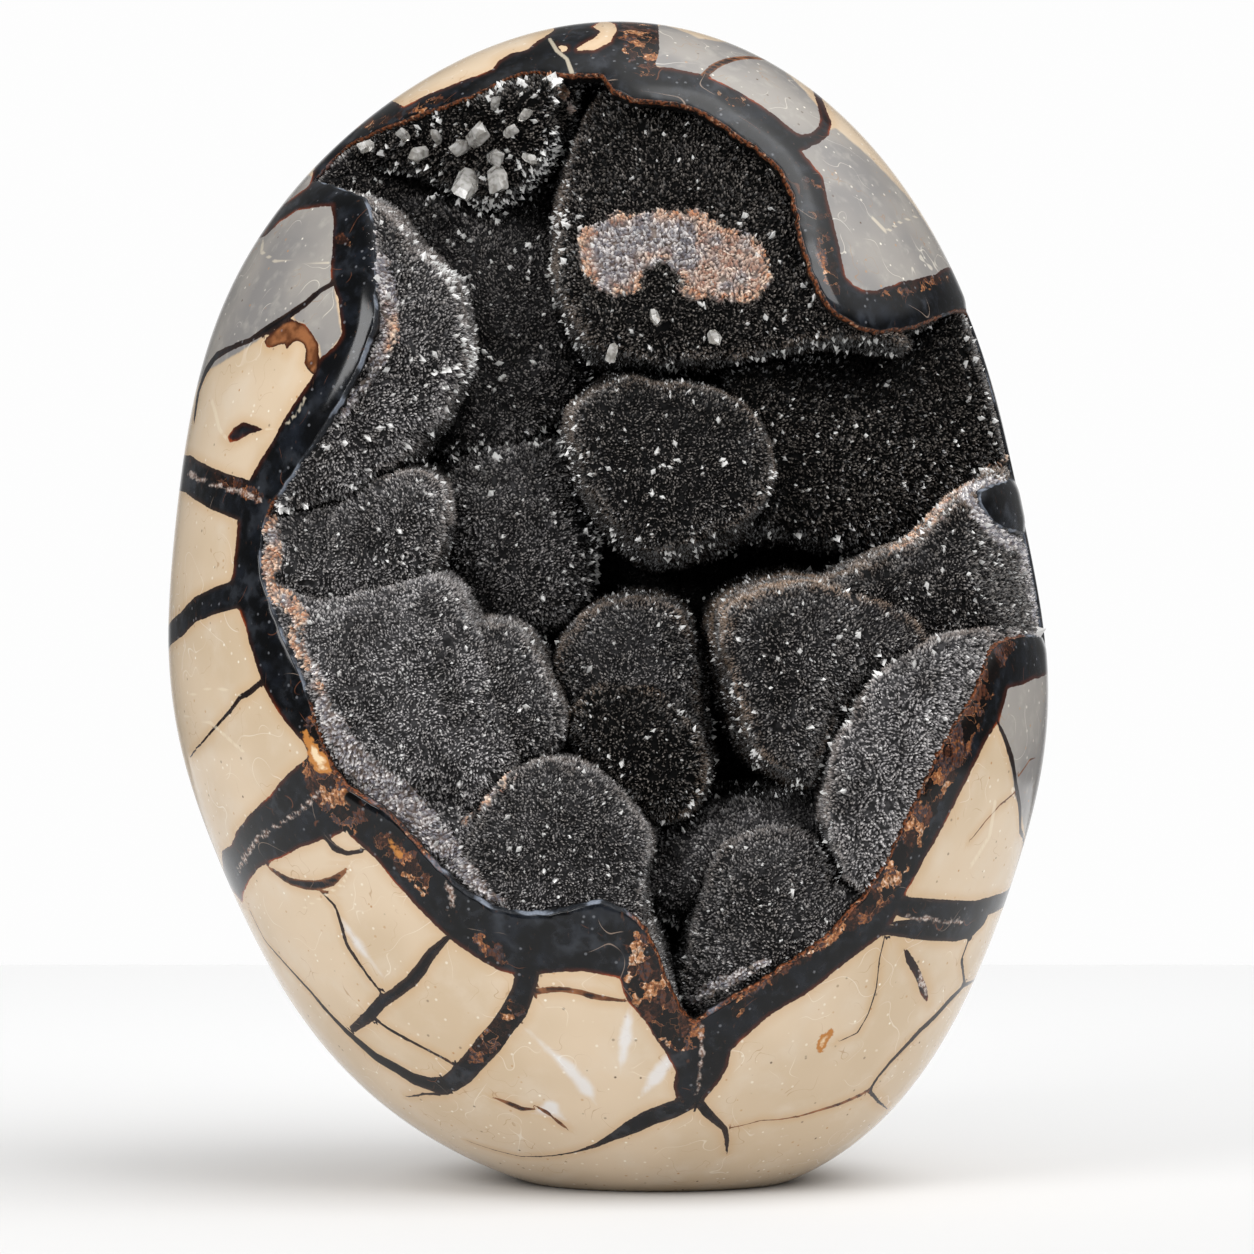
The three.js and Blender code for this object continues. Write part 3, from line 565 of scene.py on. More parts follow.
def on_egg(line, side):
    """The points of a line, lifted onto the egg: side -1 is its front, 1 its back."""
    line = np.asarray(line, float)
    y, _ = egg_front(line[:, 0], line[:, 1], SKIN_INSET)
    return np.stack([line[:, 0], -side * y, line[:, 1]], axis=-1)


def line_distance(points, normals, path, widths):
    """For each point: its distance from a path, the side it lies on, and the path's half width there."""
    nearest = np.full(len(points), FAR)
    side = np.ones(len(points))
    half = np.full(len(points), float(widths[0]))
    for a, b, width_a, width_b in zip(path, path[1:], widths, widths[1:]):
        near = (np.abs(points - (a + b) / 2) < np.abs(b - a) / 2 + FAR).all(axis=1).nonzero()[0]
        along = b - a
        share = np.clip((points[near] - a) @ along / (along @ along), 0, 1)
        off = points[near] - a - share[:, None] * along
        distance = np.linalg.norm(off, axis=1)
        closer = distance < nearest[near]
        near = near[closer]
        nearest[near] = distance[closer]
        across = np.cross(np.broadcast_to(along, (len(near), 3)), normals[near])
        side[near] = np.where((off[closer] * across).sum(axis=1) < 0, -1, 1)
        half[near] = (width_a + share * (width_b - width_a))[closer]
    return nearest, side, half


normals = point_normals(stone_points, stone_triangles)
x, y, z = stone_points.T
front = y < 0
vein_edge = np.full(len(x), -FAR)
grey_edge = np.full(len(x), -FAR)
for outline in (BAND, CRESCENT, ALMOND, LOZENGE):
    vein_edge[front] = np.maximum(vein_edge[front], polygon_depth(x[front], z[front], outline))
for outline in ISLANDS:
    vein_edge[front] = np.minimum(vein_edge[front], -polygon_depth(x[front], z[front], outline))
for where, outlines in ((front, GREY_FRONT), (~front, GREY_BACK)):
    for outline in outlines:
        grey_edge[where] = np.maximum(grey_edge[where], polygon_depth(x[where], z[where], outline))
line_far = np.full(len(x), FAR)
line_side = np.full(len(x), FAR)
line_half = np.zeros(len(x))
brown_arc = np.where(front, polygon_depth(x, z, CRESCENT), -FAR)
brown_vein = np.zeros(len(x))
swayed = stone_points.copy()
away = ~front
for axis in (0, 2):
    bend = wander(stone_points[away], SWAY_LENGTH, seed=20.0 + axis)
    swayed[away, axis] += SWAY * np.clip(y[away] / SWAY_START, 0, 1) * bend
for side, veins in ((-1, FRONT_VEINS), (1, BACK_VEINS)):
    for name, line in veins.items():
        half_widths = [half_width for _, _, half_width in line]
        distance, hand, half = line_distance(swayed, normals, on_egg(line, side), half_widths)
        closer = distance - half < line_far - line_half
        line_far = np.where(closer, distance, line_far)
        line_side = np.where(closer, hand * distance, line_side)
        line_half = np.where(closer, half, line_half)
        brown_vein = np.where(closer, float(name in BROWN_VEINS), brown_vein)
vein_edge = np.maximum(vein_edge, line_half - line_far)
shoulder = skin[rim][(skin[rim][:, 0] > SHOULDER_RIM[0]) & (skin[rim][:, 2] > SHOULDER_RIM[1])]
shoulder_far, _, _ = line_distance(stone_points, normals, shoulder, np.zeros(len(shoulder)))
vein_edge = np.maximum(vein_edge, np.where(x > SHOULDER_SIDE, SHOULDER_BAND - shoulder_far, -FAR))
plain = (x > PLAIN_RIM[0]) & (z > PLAIN_RIM[1]) & (z < PLAIN_RIM[2])
(rusty_x, over_x), (rusty_z, over_z) = RUSTY_RIM
rusty_rim = np.clip(np.maximum((x - rusty_x) / over_x, (z - rusty_z) / over_z), 0, 1)


def front_marks(lines):
    """How far the points of the skin lie inside lines drawn on its front, negative outside them."""
    depth = np.maximum.reduce([plane_line_depth(x, z, line) for line in lines])
    return np.where(front, depth, -FAR)


add_values(polished_stone, {
    "vein_edge": np.maximum(vein_edge, -FAR),
    "grey_edge": grey_edge,
    "line_side": line_side,
    "line_far": line_far,
    "line_half": line_half,
    "brown_vein": brown_vein,
    "brown_arc": np.maximum(brown_arc, -FAR),
    "rusty": front_marks(RUSTY),
    "pale_line": front_marks(PALE_IN_VEINS),
    "smear": front_marks(SMEARS),
    "flaw": front_marks(FLAWS),
    "golden": front_marks(GOLDEN_SPOTS),
    "pit": front_marks([PIT]),
    "rim_depth": rim_depth,
    "rim_rusty": np.where(plain, 0, rusty_rim),
})

# ---- the polished stone: its finish ----
# Beige and grey mudstone and black calcite under one mirror polish. The mudstone is opaque and clouded,
# with specks of shell, and the calcite is glassy, and brown and see-through at its edges.


def colour(hex_code):
    """sRGB hex to linear RGBA."""
    channels = [int(hex_code[k : k + 2], 16) / 255 for k in (1, 3, 5)]
    return (*(c / 12.92 if c <= 0.04045 else ((c + 0.055) / 1.055) ** 2.4 for c in channels), 1)


def add(kind, inputs=(), give=None, **settings):
    """Adds a node with its settings, values and links. Returns the output to give, or its first in use."""
    node = tree.nodes.new(kind)
    for name, value in settings.items():
        setattr(node, name, value)
    for key, value in inputs.items() if isinstance(inputs, dict) else enumerate(inputs):
        sockets = [s for s in node.inputs if s.enabled]
        socket = sockets[key] if isinstance(key, int) else next(s for s in sockets if s.name == key)
        if isinstance(value, bpy.types.NodeSocket):
            tree.links.new(value, socket)
        else:
            socket.default_value = value
    return node.outputs[give] if give else next((s for s in node.outputs if s.enabled), None)


def output(name):
    """Another output of the node that was added last."""
    return tree.nodes[-1].outputs[name]


def new_material(name):
    """An empty material and its node tree, which the nodes that follow go into."""
    material = bpy.data.materials.new(name)
    material.use_nodes = True
    material.node_tree.nodes.clear()
    return material, material.node_tree


stone, tree = new_material("polished_septarian_mudstone")
here = add("ShaderNodeTexCoord", give="Object")


def sized(size, detail=2.0, place=None):
    """What a noise takes whose features have that size in millimetres."""
    return {"Vector": place or here, "Scale": 1 / (size * MM), "Detail": detail}


def uneven(size, detail, reach):
    """Noise about 0, from minus to plus half of that reach."""
    return add("ShaderNodeMath", [
        add("ShaderNodeMath", [
            add("ShaderNodeTexNoise", sized(size, detail)), 0.5,
        ], operation="SUBTRACT"),
        reach,
    ], operation="MULTIPLY")


def shaken(size, reach):
    """Places in the material, each moved about by up to half of that reach in millimetres."""
    add("ShaderNodeTexNoise", sized(size))
    shift = {0: output("Color"), "Scale": reach * MM}
    shift = add("ShaderNodeVectorMath", shift, operation="SCALE")
    return add("ShaderNodeVectorMath", {0: here, 1: shift}, operation="ADD")


def with_lines(base, rows):
    """Draws fine curved lines over a colour. A row is one kind: size, width, size of patches, tone."""
    for size, reach, patches, tone in rows:
        line = add("ShaderNodeMath", [
            add("ShaderNodeMath", [add("ShaderNodeTexNoise", sized(size, 1)), 0.5], operation="SUBTRACT"),
        ], operation="ABSOLUTE")
        line = add("ShaderNodeMath", [
            add("ShaderNodeMapRange", [line, reach, reach * 0.2], interpolation_type="SMOOTHSTEP"),
            add("ShaderNodeMapRange", [
                add("ShaderNodeTexNoise", sized(patches, 1)), 0.54, 0.62,
            ], interpolation_type="SMOOTHSTEP"),
        ], operation="MULTIPLY")
        base = add("ShaderNodeMix", [
            add("ShaderNodeMath", [line, 0.5], operation="MULTIPLY"), base, colour(tone),
        ], data_type="RGBA")
    return base


# In the lists below, Map Range takes its source, where its smooth step starts and ends, and what it gives
# there if that isn't 0 and 1. Mix takes a share, the colour where that is 0, and the colour where it is 1.

# Where the veins are: the outlines and the lines, both made ragged. A distance with a sign for its side
# keeps a vein finer than the mesh smooth, but leaps past a line's end, where the plain one takes over.
ragged = add("ShaderNodeMath", [uneven(1.0, 3, 0.45), uneven(5.0, 2, 0.7)], operation="ADD")
broad = add("ShaderNodeMath", [
    add("ShaderNodeAttribute", attribute_name="vein_edge", give="Fac"), ragged,
], operation="ADD")
line_distance_here = add("ShaderNodeMath", [
    add("ShaderNodeMath", [
        add("ShaderNodeAttribute", attribute_name="line_side", give="Fac"),
    ], operation="ABSOLUTE"),
    add("ShaderNodeMath", [
        add("ShaderNodeAttribute", attribute_name="line_far", give="Fac"), 0.6,
    ], operation="SUBTRACT"),
], operation="MAXIMUM")
thin = add("ShaderNodeMath", [
    add("ShaderNodeAttribute", attribute_name="line_half", give="Fac"), line_distance_here,
], operation="SUBTRACT")
thin = add("ShaderNodeMath", [thin, uneven(1.2, 3, 0.25)], operation="ADD")
inside = add("ShaderNodeMath", [broad, thin], operation="MAXIMUM")
vein = add("ShaderNodeMapRange", [inside, -0.06, 0.06], interpolation_type="SMOOTHSTEP")

# Mudstone: clouds of two sizes, rust beside the veins, specks and short curved lines of shell.
SHELL_LINES = [(9, 0.006, 12, "#f1e8d8"), (5, 0.006, 9, "#a67c54"), (15, 0.003, 17, "#f4eee2")]
SPECKS = [(3.2, 0.11, 0.9, 0.9), (2.0, 0.2, 0.5, 0.55)]  # spacing, radius and share of them, and strength
beige = add("ShaderNodeMix", [
    add("ShaderNodeMapRange", [
        add("ShaderNodeTexNoise", sized(26)), 0.35, 0.65,
    ], interpolation_type="SMOOTHSTEP"),
    colour("#dac5aa"), colour("#ceb89b"),
], data_type="RGBA")
beige = add("ShaderNodeMix", [
    add("ShaderNodeMapRange", [
        add("ShaderNodeTexNoise", sized(8, 4)), 0.45, 0.8, 0, 0.6,
    ], interpolation_type="SMOOTHSTEP"),
    beige, colour("#dccdb9"),
], data_type="RGBA")
beige = add("ShaderNodeMix", [
    add("ShaderNodeMapRange", [inside, -2.5, 0, 0, 0.35], interpolation_type="SMOOTHSTEP"), beige,
    colour("#c49a66"),
], data_type="RGBA")
grey = add("ShaderNodeMix", [
    add("ShaderNodeMapRange", [
        add("ShaderNodeTexNoise", sized(18)), 0.35, 0.65,
    ], interpolation_type="SMOOTHSTEP"),
    colour("#8a8785"), colour("#9f9a94"),
], data_type="RGBA")
grey = add("ShaderNodeMix", [
    add("ShaderNodeMapRange", [
        add("ShaderNodeTexNoise", sized(3, 3)), 0.5, 0.8, 0, 0.5,
    ], interpolation_type="SMOOTHSTEP"),
    grey, colour("#b3afa6"),
], data_type="RGBA")
grey_share = add("ShaderNodeMapRange", [
    add("ShaderNodeMath", [
        add("ShaderNodeAttribute", attribute_name="grey_edge", give="Fac"), ragged,
    ], operation="ADD"),
    -0.3, 0.3,
], interpolation_type="SMOOTHSTEP")
mudstone = add("ShaderNodeMix", [grey_share, beige, grey], data_type="RGBA")
for size, reach, share, strength in SPECKS:
    speck_distance = add("ShaderNodeTexVoronoi", {"Vector": here, "Scale": 1 / (size * MM)})
    lot = add("ShaderNodeSeparateColor", {"Color": output("Color")})
    kind = output("Green")
    in_lot = add("ShaderNodeMapRange", [lot, 1 - share, 1.01 - share], interpolation_type="SMOOTHSTEP")
    speck = add("ShaderNodeMath", [
        add("ShaderNodeMapRange", [speck_distance, reach, reach * 0.4], interpolation_type="SMOOTHSTEP"),
        in_lot,
    ], operation="MULTIPLY")
    speck_tone = add("ShaderNodeMix", [
        add("ShaderNodeMapRange", [kind, 0.6, 0.62], interpolation_type="SMOOTHSTEP"), colour("#f4eddf"),
        colour("#b98a5c"),
    ], data_type="RGBA")
    speck_tone = add("ShaderNodeMix", [
        add("ShaderNodeMapRange", [kind, 0.85, 0.87], interpolation_type="SMOOTHSTEP"), speck_tone,
        colour("#5b4636"),
    ], data_type="RGBA")
    mudstone = add("ShaderNodeMix", [
        add("ShaderNodeMath", [speck, strength], operation="MULTIPLY"), mudstone, speck_tone,
    ], data_type="RGBA")
mudstone = with_lines(mudstone, SHELL_LINES)
smear = add("ShaderNodeMath", [
    add("ShaderNodeAttribute", attribute_name="smear", give="Fac"), uneven(3, 3, 1.5),
], operation="ADD")
mudstone = add("ShaderNodeMix", [
    add("ShaderNodeMapRange", [smear, -0.3, 1.1, 0, 0.62], interpolation_type="SMOOTHSTEP"), mudstone,
    colour("#e9ecf1"),
], data_type="RGBA")

# Calcite: black with bluish cleavage and fine healed cracks, brown near its edge and in some veins.
HEALED_CRACKS = [(18, 0.0025, 9, "#b29c8c"), (13, 0.004, 5, "#7a4b33")]  # thinner than any other line
calcite = add("ShaderNodeMix", [
    add("ShaderNodeMapRange", [
        add("ShaderNodeTexNoise", sized(6, 3)), 0.45, 0.75,
    ], interpolation_type="SMOOTHSTEP"),
    colour("#050608"), colour("#161a21"),
], data_type="RGBA")
calcite = add("ShaderNodeMix", [
    add("ShaderNodeMapRange", [
        add("ShaderNodeTexNoise", sized(2.2, 4)), 0.5, 0.75, 0, 0.4,
    ], interpolation_type="SMOOTHSTEP"),
    calcite, colour("#2a2e36"),
], data_type="RGBA")
facet = add("ShaderNodeTexVoronoi", {"Vector": shaken(2, 3), "Scale": 1 / (3.2 * MM)})
facet = add("ShaderNodeMath", [
    add("ShaderNodeMapRange", [facet, 0.4, 0.9], interpolation_type="SMOOTHSTEP"),
    add("ShaderNodeMapRange", [
        add("ShaderNodeTexNoise", sized(9, 2)), 0.45, 0.65,
    ], interpolation_type="SMOOTHSTEP"),
], operation="MULTIPLY")
calcite = add("ShaderNodeMix", [
    add("ShaderNodeMath", [facet, 0.45], operation="MULTIPLY"), calcite, colour("#41454c"),
], data_type="RGBA")
fibre_place = add("ShaderNodeMapping", {"Vector": here, "Scale": (1, 1, 0.25)})
fibres = add("ShaderNodeMapRange", [
    add("ShaderNodeTexNoise", sized(0.8, 3, fibre_place)), 0.66, 0.74,
], interpolation_type="SMOOTHSTEP")
calcite = add("ShaderNodeMix", [
    add("ShaderNodeMath", [fibres, 0.25], operation="MULTIPLY"), calcite, colour("#6a4630"),
], data_type="RGBA")
calcite = with_lines(calcite, HEALED_CRACKS)
fringe = add("ShaderNodeMath", [
    add("ShaderNodeMapRange", [inside, 1.1, 0.0], interpolation_type="SMOOTHSTEP"),
    add("ShaderNodeMapRange", [
        add("ShaderNodeTexNoise", sized(7, 2)), 0.35, 0.6, 0.35, 1,
    ], interpolation_type="SMOOTHSTEP"),
], operation="MULTIPLY")
narrow = add("ShaderNodeMapRange", [thin, -0.8, 0.0], interpolation_type="SMOOTHSTEP")
fringe_tone = add("ShaderNodeMix", [narrow, colour("#4a2010"), colour("#37261f")], data_type="RGBA")
calcite = add("ShaderNodeMix", [
    add("ShaderNodeMath", [fringe, 0.8], operation="MULTIPLY"), calcite, fringe_tone,
], data_type="RGBA")
glow = add("ShaderNodeMath", [
    add("ShaderNodeMapRange", [inside, 0.45, 0.1], interpolation_type="SMOOTHSTEP"),
    add("ShaderNodeMapRange", [
        add("ShaderNodeTexNoise", sized(9, 2)), 0.5, 0.68,
    ], interpolation_type="SMOOTHSTEP"),
], operation="MULTIPLY")
glow = add("ShaderNodeMath", [
    glow, add("ShaderNodeMath", [1.0, narrow], operation="SUBTRACT"),
], operation="MULTIPLY")
calcite = add("ShaderNodeMix", [
    add("ShaderNodeMath", [glow, 0.75], operation="MULTIPLY"), calcite, colour("#9c4419"),
], data_type="RGBA")
brown = add("ShaderNodeMix", [
    add("ShaderNodeMapRange", [
        add("ShaderNodeTexNoise", sized(3, 4)), 0.35, 0.65,
    ], interpolation_type="SMOOTHSTEP"),
    colour("#5f3820"), colour("#96613d"),
], data_type="RGBA")
in_line = add("ShaderNodeMath", [
    add("ShaderNodeMapRange", [thin, -0.15, 0.1], interpolation_type="SMOOTHSTEP"),
    add("ShaderNodeMapRange", [broad, 0.5, -0.1], interpolation_type="SMOOTHSTEP"),
], operation="MULTIPLY")
brown_share = add("ShaderNodeMath", [
    add("ShaderNodeMath", [
        add("ShaderNodeAttribute", attribute_name="brown_vein", give="Fac"), in_line,
    ], operation="MULTIPLY"),
    add("ShaderNodeMapRange", [
        add("ShaderNodeMath", [
            add("ShaderNodeAttribute", attribute_name="brown_arc", give="Fac"), ragged,
        ], operation="ADD"),
        0.0, 0.7,
    ], interpolation_type="SMOOTHSTEP"),
], operation="MAXIMUM")
calcite = add("ShaderNodeMix", [brown_share, calcite, brown], data_type="RGBA")

# The rusty places are see-through crystals grown together: black, brown, blue-grey, golden and cream
# faces, streaked along their growth, with bright lines where they meet. Some veins hold a pale seam.
GRAINS = [  # from which lot on a grain has the tone
    (0.3, "#2a1811"), (0.52, "#583322"), (0.68, "#34363d"), (0.8, "#88522f"), (0.94, "#c08a5e"),
    (1.04, "#ead0ba"),
]
grain_place = {"Vector": shaken(1.6, 3.4), "Scale": 1 / (2.6 * MM)}
add("ShaderNodeTexVoronoi", grain_place)
grain_lot = add("ShaderNodeSeparateColor", {"Color": output("Color")})
grain_light = output("Green")
grain_lot = add("ShaderNodeMath", [grain_lot, uneven(0.7, 4, 0.7)], operation="ADD")
seam = add("ShaderNodeTexVoronoi", grain_place, feature="DISTANCE_TO_EDGE")
grains = colour("#0d0908")
for lot, tone in GRAINS:
    grains = add("ShaderNodeMix", [
        add("ShaderNodeMapRange", [grain_lot, lot - 0.08, lot + 0.08], interpolation_type="SMOOTHSTEP"),
        grains, colour(tone),
    ], data_type="RGBA")
streaks = {"Vector": shaken(3, 3), "Rotation": (0, 0.7, 0), "Scale": (1, 1, 0.2)}
streaks = add("ShaderNodeMapping", streaks)
grains = add("ShaderNodeMix", [
    add("ShaderNodeMapRange", [
        add("ShaderNodeTexNoise", sized(0.6, 3, streaks)), 0.45, 0.65, 0, 0.75,
    ], interpolation_type="SMOOTHSTEP"),
    grains, colour("#0c0807"),
], data_type="RGBA")
seam_light = add("ShaderNodeMath", [
    add("ShaderNodeMapRange", [seam, 0.05, 0.01], interpolation_type="SMOOTHSTEP"),
    add("ShaderNodeMapRange", [grain_light, 0.6, 0.85], interpolation_type="SMOOTHSTEP"),
], operation="MULTIPLY")
grains = add("ShaderNodeMix", [
    add("ShaderNodeMath", [seam_light, 0.5], operation="MULTIPLY"), grains, colour("#c0835a"),
], data_type="RGBA")
rusty = add("ShaderNodeMath", [
    add("ShaderNodeAttribute", attribute_name="rusty", give="Fac"), uneven(2.4, 4, 5.0),
], operation="ADD")
calcite = add("ShaderNodeMix", [
    add("ShaderNodeMapRange", [rusty, -0.3, 0.1], interpolation_type="SMOOTHSTEP"), calcite, grains,
], data_type="RGBA")
pale_line = add("ShaderNodeMath", [
    add("ShaderNodeAttribute", attribute_name="pale_line", give="Fac"), uneven(1.6, 4, 2.2),
], operation="ADD")
pale_tone = add("ShaderNodeMix", [
    add("ShaderNodeMapRange", [
        add("ShaderNodeTexNoise", sized(0.5, 2)), 0.4, 0.6,
    ], interpolation_type="SMOOTHSTEP"),
    colour("#7d5f50"), colour("#d6c8bf"),
], data_type="RGBA")
calcite = add("ShaderNodeMix", [
    add("ShaderNodeMapRange", [pale_line, -0.55, 0.1, 0, 0.85], interpolation_type="SMOOTHSTEP"), calcite,
    pale_tone,
], data_type="RGBA")
# the finest specks go on here
calcite = add("ShaderNodeMix", [
    add("ShaderNodeMath", [speck, 0.4], operation="MULTIPLY"), calcite, colour("#8c8e93"),
], data_type="RGBA")

# Both together, with what lies across them: hairlines, golden spots, the pit and the toothed rim.
face = add("ShaderNodeMix", [vein, mudstone, calcite], data_type="RGBA")
face = add("ShaderNodeMix", [
    add("ShaderNodeMapRange", [
        add("ShaderNodeAttribute", attribute_name="flaw", give="Fac"), -0.38, -0.1, 0, 0.5,
    ], interpolation_type="SMOOTHSTEP"),
    face, colour("#e9dcc4"),
], data_type="RGBA")
golden = add("ShaderNodeMath", [
    add("ShaderNodeAttribute", attribute_name="golden", give="Fac"), uneven(1.6, 4, 2.6),
], operation="ADD")
face = add("ShaderNodeMix", [
    add("ShaderNodeMapRange", [golden, -0.2, 0.2], interpolation_type="SMOOTHSTEP"), face,
    colour("#b97a3a"),
], data_type="RGBA")
face = add("ShaderNodeMix", [
    add("ShaderNodeMapRange", [golden, 0.5, 1.1], interpolation_type="SMOOTHSTEP"), face,
    colour("#e8cfa8"),
], data_type="RGBA")
# Painted shade: the pit is painted near black, the skin isn't hollowed there.
face = add("ShaderNodeMix", [
    add("ShaderNodeMapRange", [
        add("ShaderNodeAttribute", attribute_name="pit", give="Fac"), -0.4, 0.4,
    ], interpolation_type="SMOOTHSTEP"),
    face, colour("#050404"),
], data_type="RGBA")
rim_share = add("ShaderNodeMapRange", [
    add("ShaderNodeAttribute", attribute_name="rim_depth", give="Fac"), 0.02, 0.2,
], interpolation_type="SMOOTHSTEP")
teeth_colour = add("ShaderNodeMix", [
    add("ShaderNodeMapRange", [
        add("ShaderNodeTexNoise", sized(0.6, 3)), 0.4, 0.6,
    ], interpolation_type="SMOOTHSTEP"),
    colour("#1d100b"), colour("#7c4526"),
], data_type="RGBA")
teeth_colour = add("ShaderNodeMix", [
    add("ShaderNodeMapRange", [
        add("ShaderNodeTexNoise", sized(0.9, 2)), 0.6, 0.7,
    ], interpolation_type="SMOOTHSTEP"),
    teeth_colour, colour("#b98e70"),
], data_type="RGBA")
# The rim's pale bluish patches are partly whitish crystals and partly a painted highlight.
plain_rim = add("ShaderNodeMix", [
    add("ShaderNodeMapRange", [
        add("ShaderNodeTexNoise", sized(5, 4)), 0.45, 0.6,
    ], interpolation_type="SMOOTHSTEP"),
    colour("#1b1e23"), colour("#7a818d"),
], data_type="RGBA")
brown_rim = add("ShaderNodeMath", [
    add("ShaderNodeMapRange", [rusty, -4.0, -1.0], interpolation_type="SMOOTHSTEP"),
    add("ShaderNodeAttribute", attribute_name="rim_rusty", give="Fac"),
], operation="MAXIMUM")
rim_colour = add("ShaderNodeMix", [brown_rim, plain_rim, teeth_colour], data_type="RGBA")
# Painted shade: deeper down the mouth's wall the rim is painted near black.
rim_colour = add("ShaderNodeMix", [
    add("ShaderNodeMapRange", [
        add("ShaderNodeAttribute", attribute_name="rim_depth", give="Fac"), 0.9, 1.8,
    ], interpolation_type="SMOOTHSTEP"),
    rim_colour, colour("#060606"),
], data_type="RGBA")
face = add("ShaderNodeMix", [rim_share, face, rim_colour], data_type="RGBA")

# The polish is a little uneven and waves faintly, and the rim is rough.
polish = add("ShaderNodeMapRange", [
    add("ShaderNodeTexNoise", sized(15, 3)), 0.3, 0.7, 0.09, 0.16,
], interpolation_type="SMOOTHSTEP")
roughness = add("ShaderNodeMath", [
    polish, add("ShaderNodeMath", [rim_share, 0.3], operation="MULTIPLY"),
], operation="ADD")
wave = add("ShaderNodeBump", {
    "Height": add("ShaderNodeTexNoise", sized(22, 1)),
    "Strength": 0.25,
    "Distance": 0.25 * MM,
})
rim_grain = add("ShaderNodeMath", [
    add("ShaderNodeTexNoise", sized(0.6, 2)), rim_share,
], operation="MULTIPLY")
grain = {"Height": rim_grain, "Strength": 0.8, "Distance": 0.5 * MM}
grain = add("ShaderNodeBump", {**grain, "Normal": wave})
shader_inputs = {"Base Color": face, "Roughness": roughness, "Normal": grain, "IOR": 1.37}
shader = add("ShaderNodeBsdfPrincipled", shader_inputs)
add("ShaderNodeOutputMaterial", {"Surface": shader})

polished_stone.data.materials.append(stone)
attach(polished_stone, "root")
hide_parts("nodule")

# ---- the crust in the hollow ----
# Calcite that grew over everything in the hollow. Under it are broken blocks and domes of mudstone, so
# the crust swells and folds. It is a sheet seen from the front, and steep where one lump hides another.

CRYSTAL_REACH = 1.0  # the crust's own surface lies this far under the tips of its crystals
SUNK = 2.0  # the highest lumps stay this far under the polished skin
UNDER_POLISH = 0.2  # and the crust itself this far
ROUNDING = 5.0  # of the edges of the lumps
WALL_SLOPE = 8.0  # how much the lumps' walls fall back for each millimetre outwards
EDGE_IN = 0.8  # the lumps end this far inside their outlines, for their crystals stand out
EDGE_WIDTH = 2.2  # of the part that counts as a lump's edge
GRID = 0.7
GRID_X, GRID_Z = (-84, 84), (28, 224)  # what it covers, seen from the front
NUDGE = 0.1  # a step aside, to measure how fast the share towards the limb grows
LIMB = 0.9995  # how far out the crust goes where the hollow is open round the shoulder
LIMB_REACH = 1.5  # points past it by fewer steps of the grid than this move back onto it
UNDER_SKIN = 1.2  # the crust runs on this far under the skin
RIM_DROP = 2.2  # the crust starts this far down the mouth's wall
RIM_IN = 0.3  # and ends against it this far outside the mouth
WARP_X = [(11, 1.3, 1.0), (3.5, 0.5, 5.0)]  # how the lumps' edges wander: size of the bends, reach, seed
WARP_Z = [(11, 1.3, 2.0), (3.5, 0.5, 6.0)]
RELIEF = [(8, 0.7, 9.0), (2.6, 0.3, 10.0)]  # and how the crust swells and sinks on them
CLUSTERS = [(9, 1.0, 12.0)]  # and where the painted glints gather
CLUSTERED = (0.6, 2.5)  # how thick they are sown: on average, and how much that changes
CLUSTER_LIMITS = (0.1, 2.5)
CLEFT_STEPS = (2, 4, 7, 11, 16)  # how far to look for higher ground, in steps of the grid
CLEFT_WAYS = [  # and which way (x, z), with how much light comes from there
    (0, 1, 0.3), (-1, 1, 0.2), (1, 1, 0.2), (-1, 0, 0.12), (1, 0, 0.12), (0, -1, 0.06),
]
CLEFT_SLOPE = 1.6  # ground that climbs like this hides all of it
FLOOR_BLOOM = 0.2  # between the lumps
FLOOR_SPARKLE = 0.2
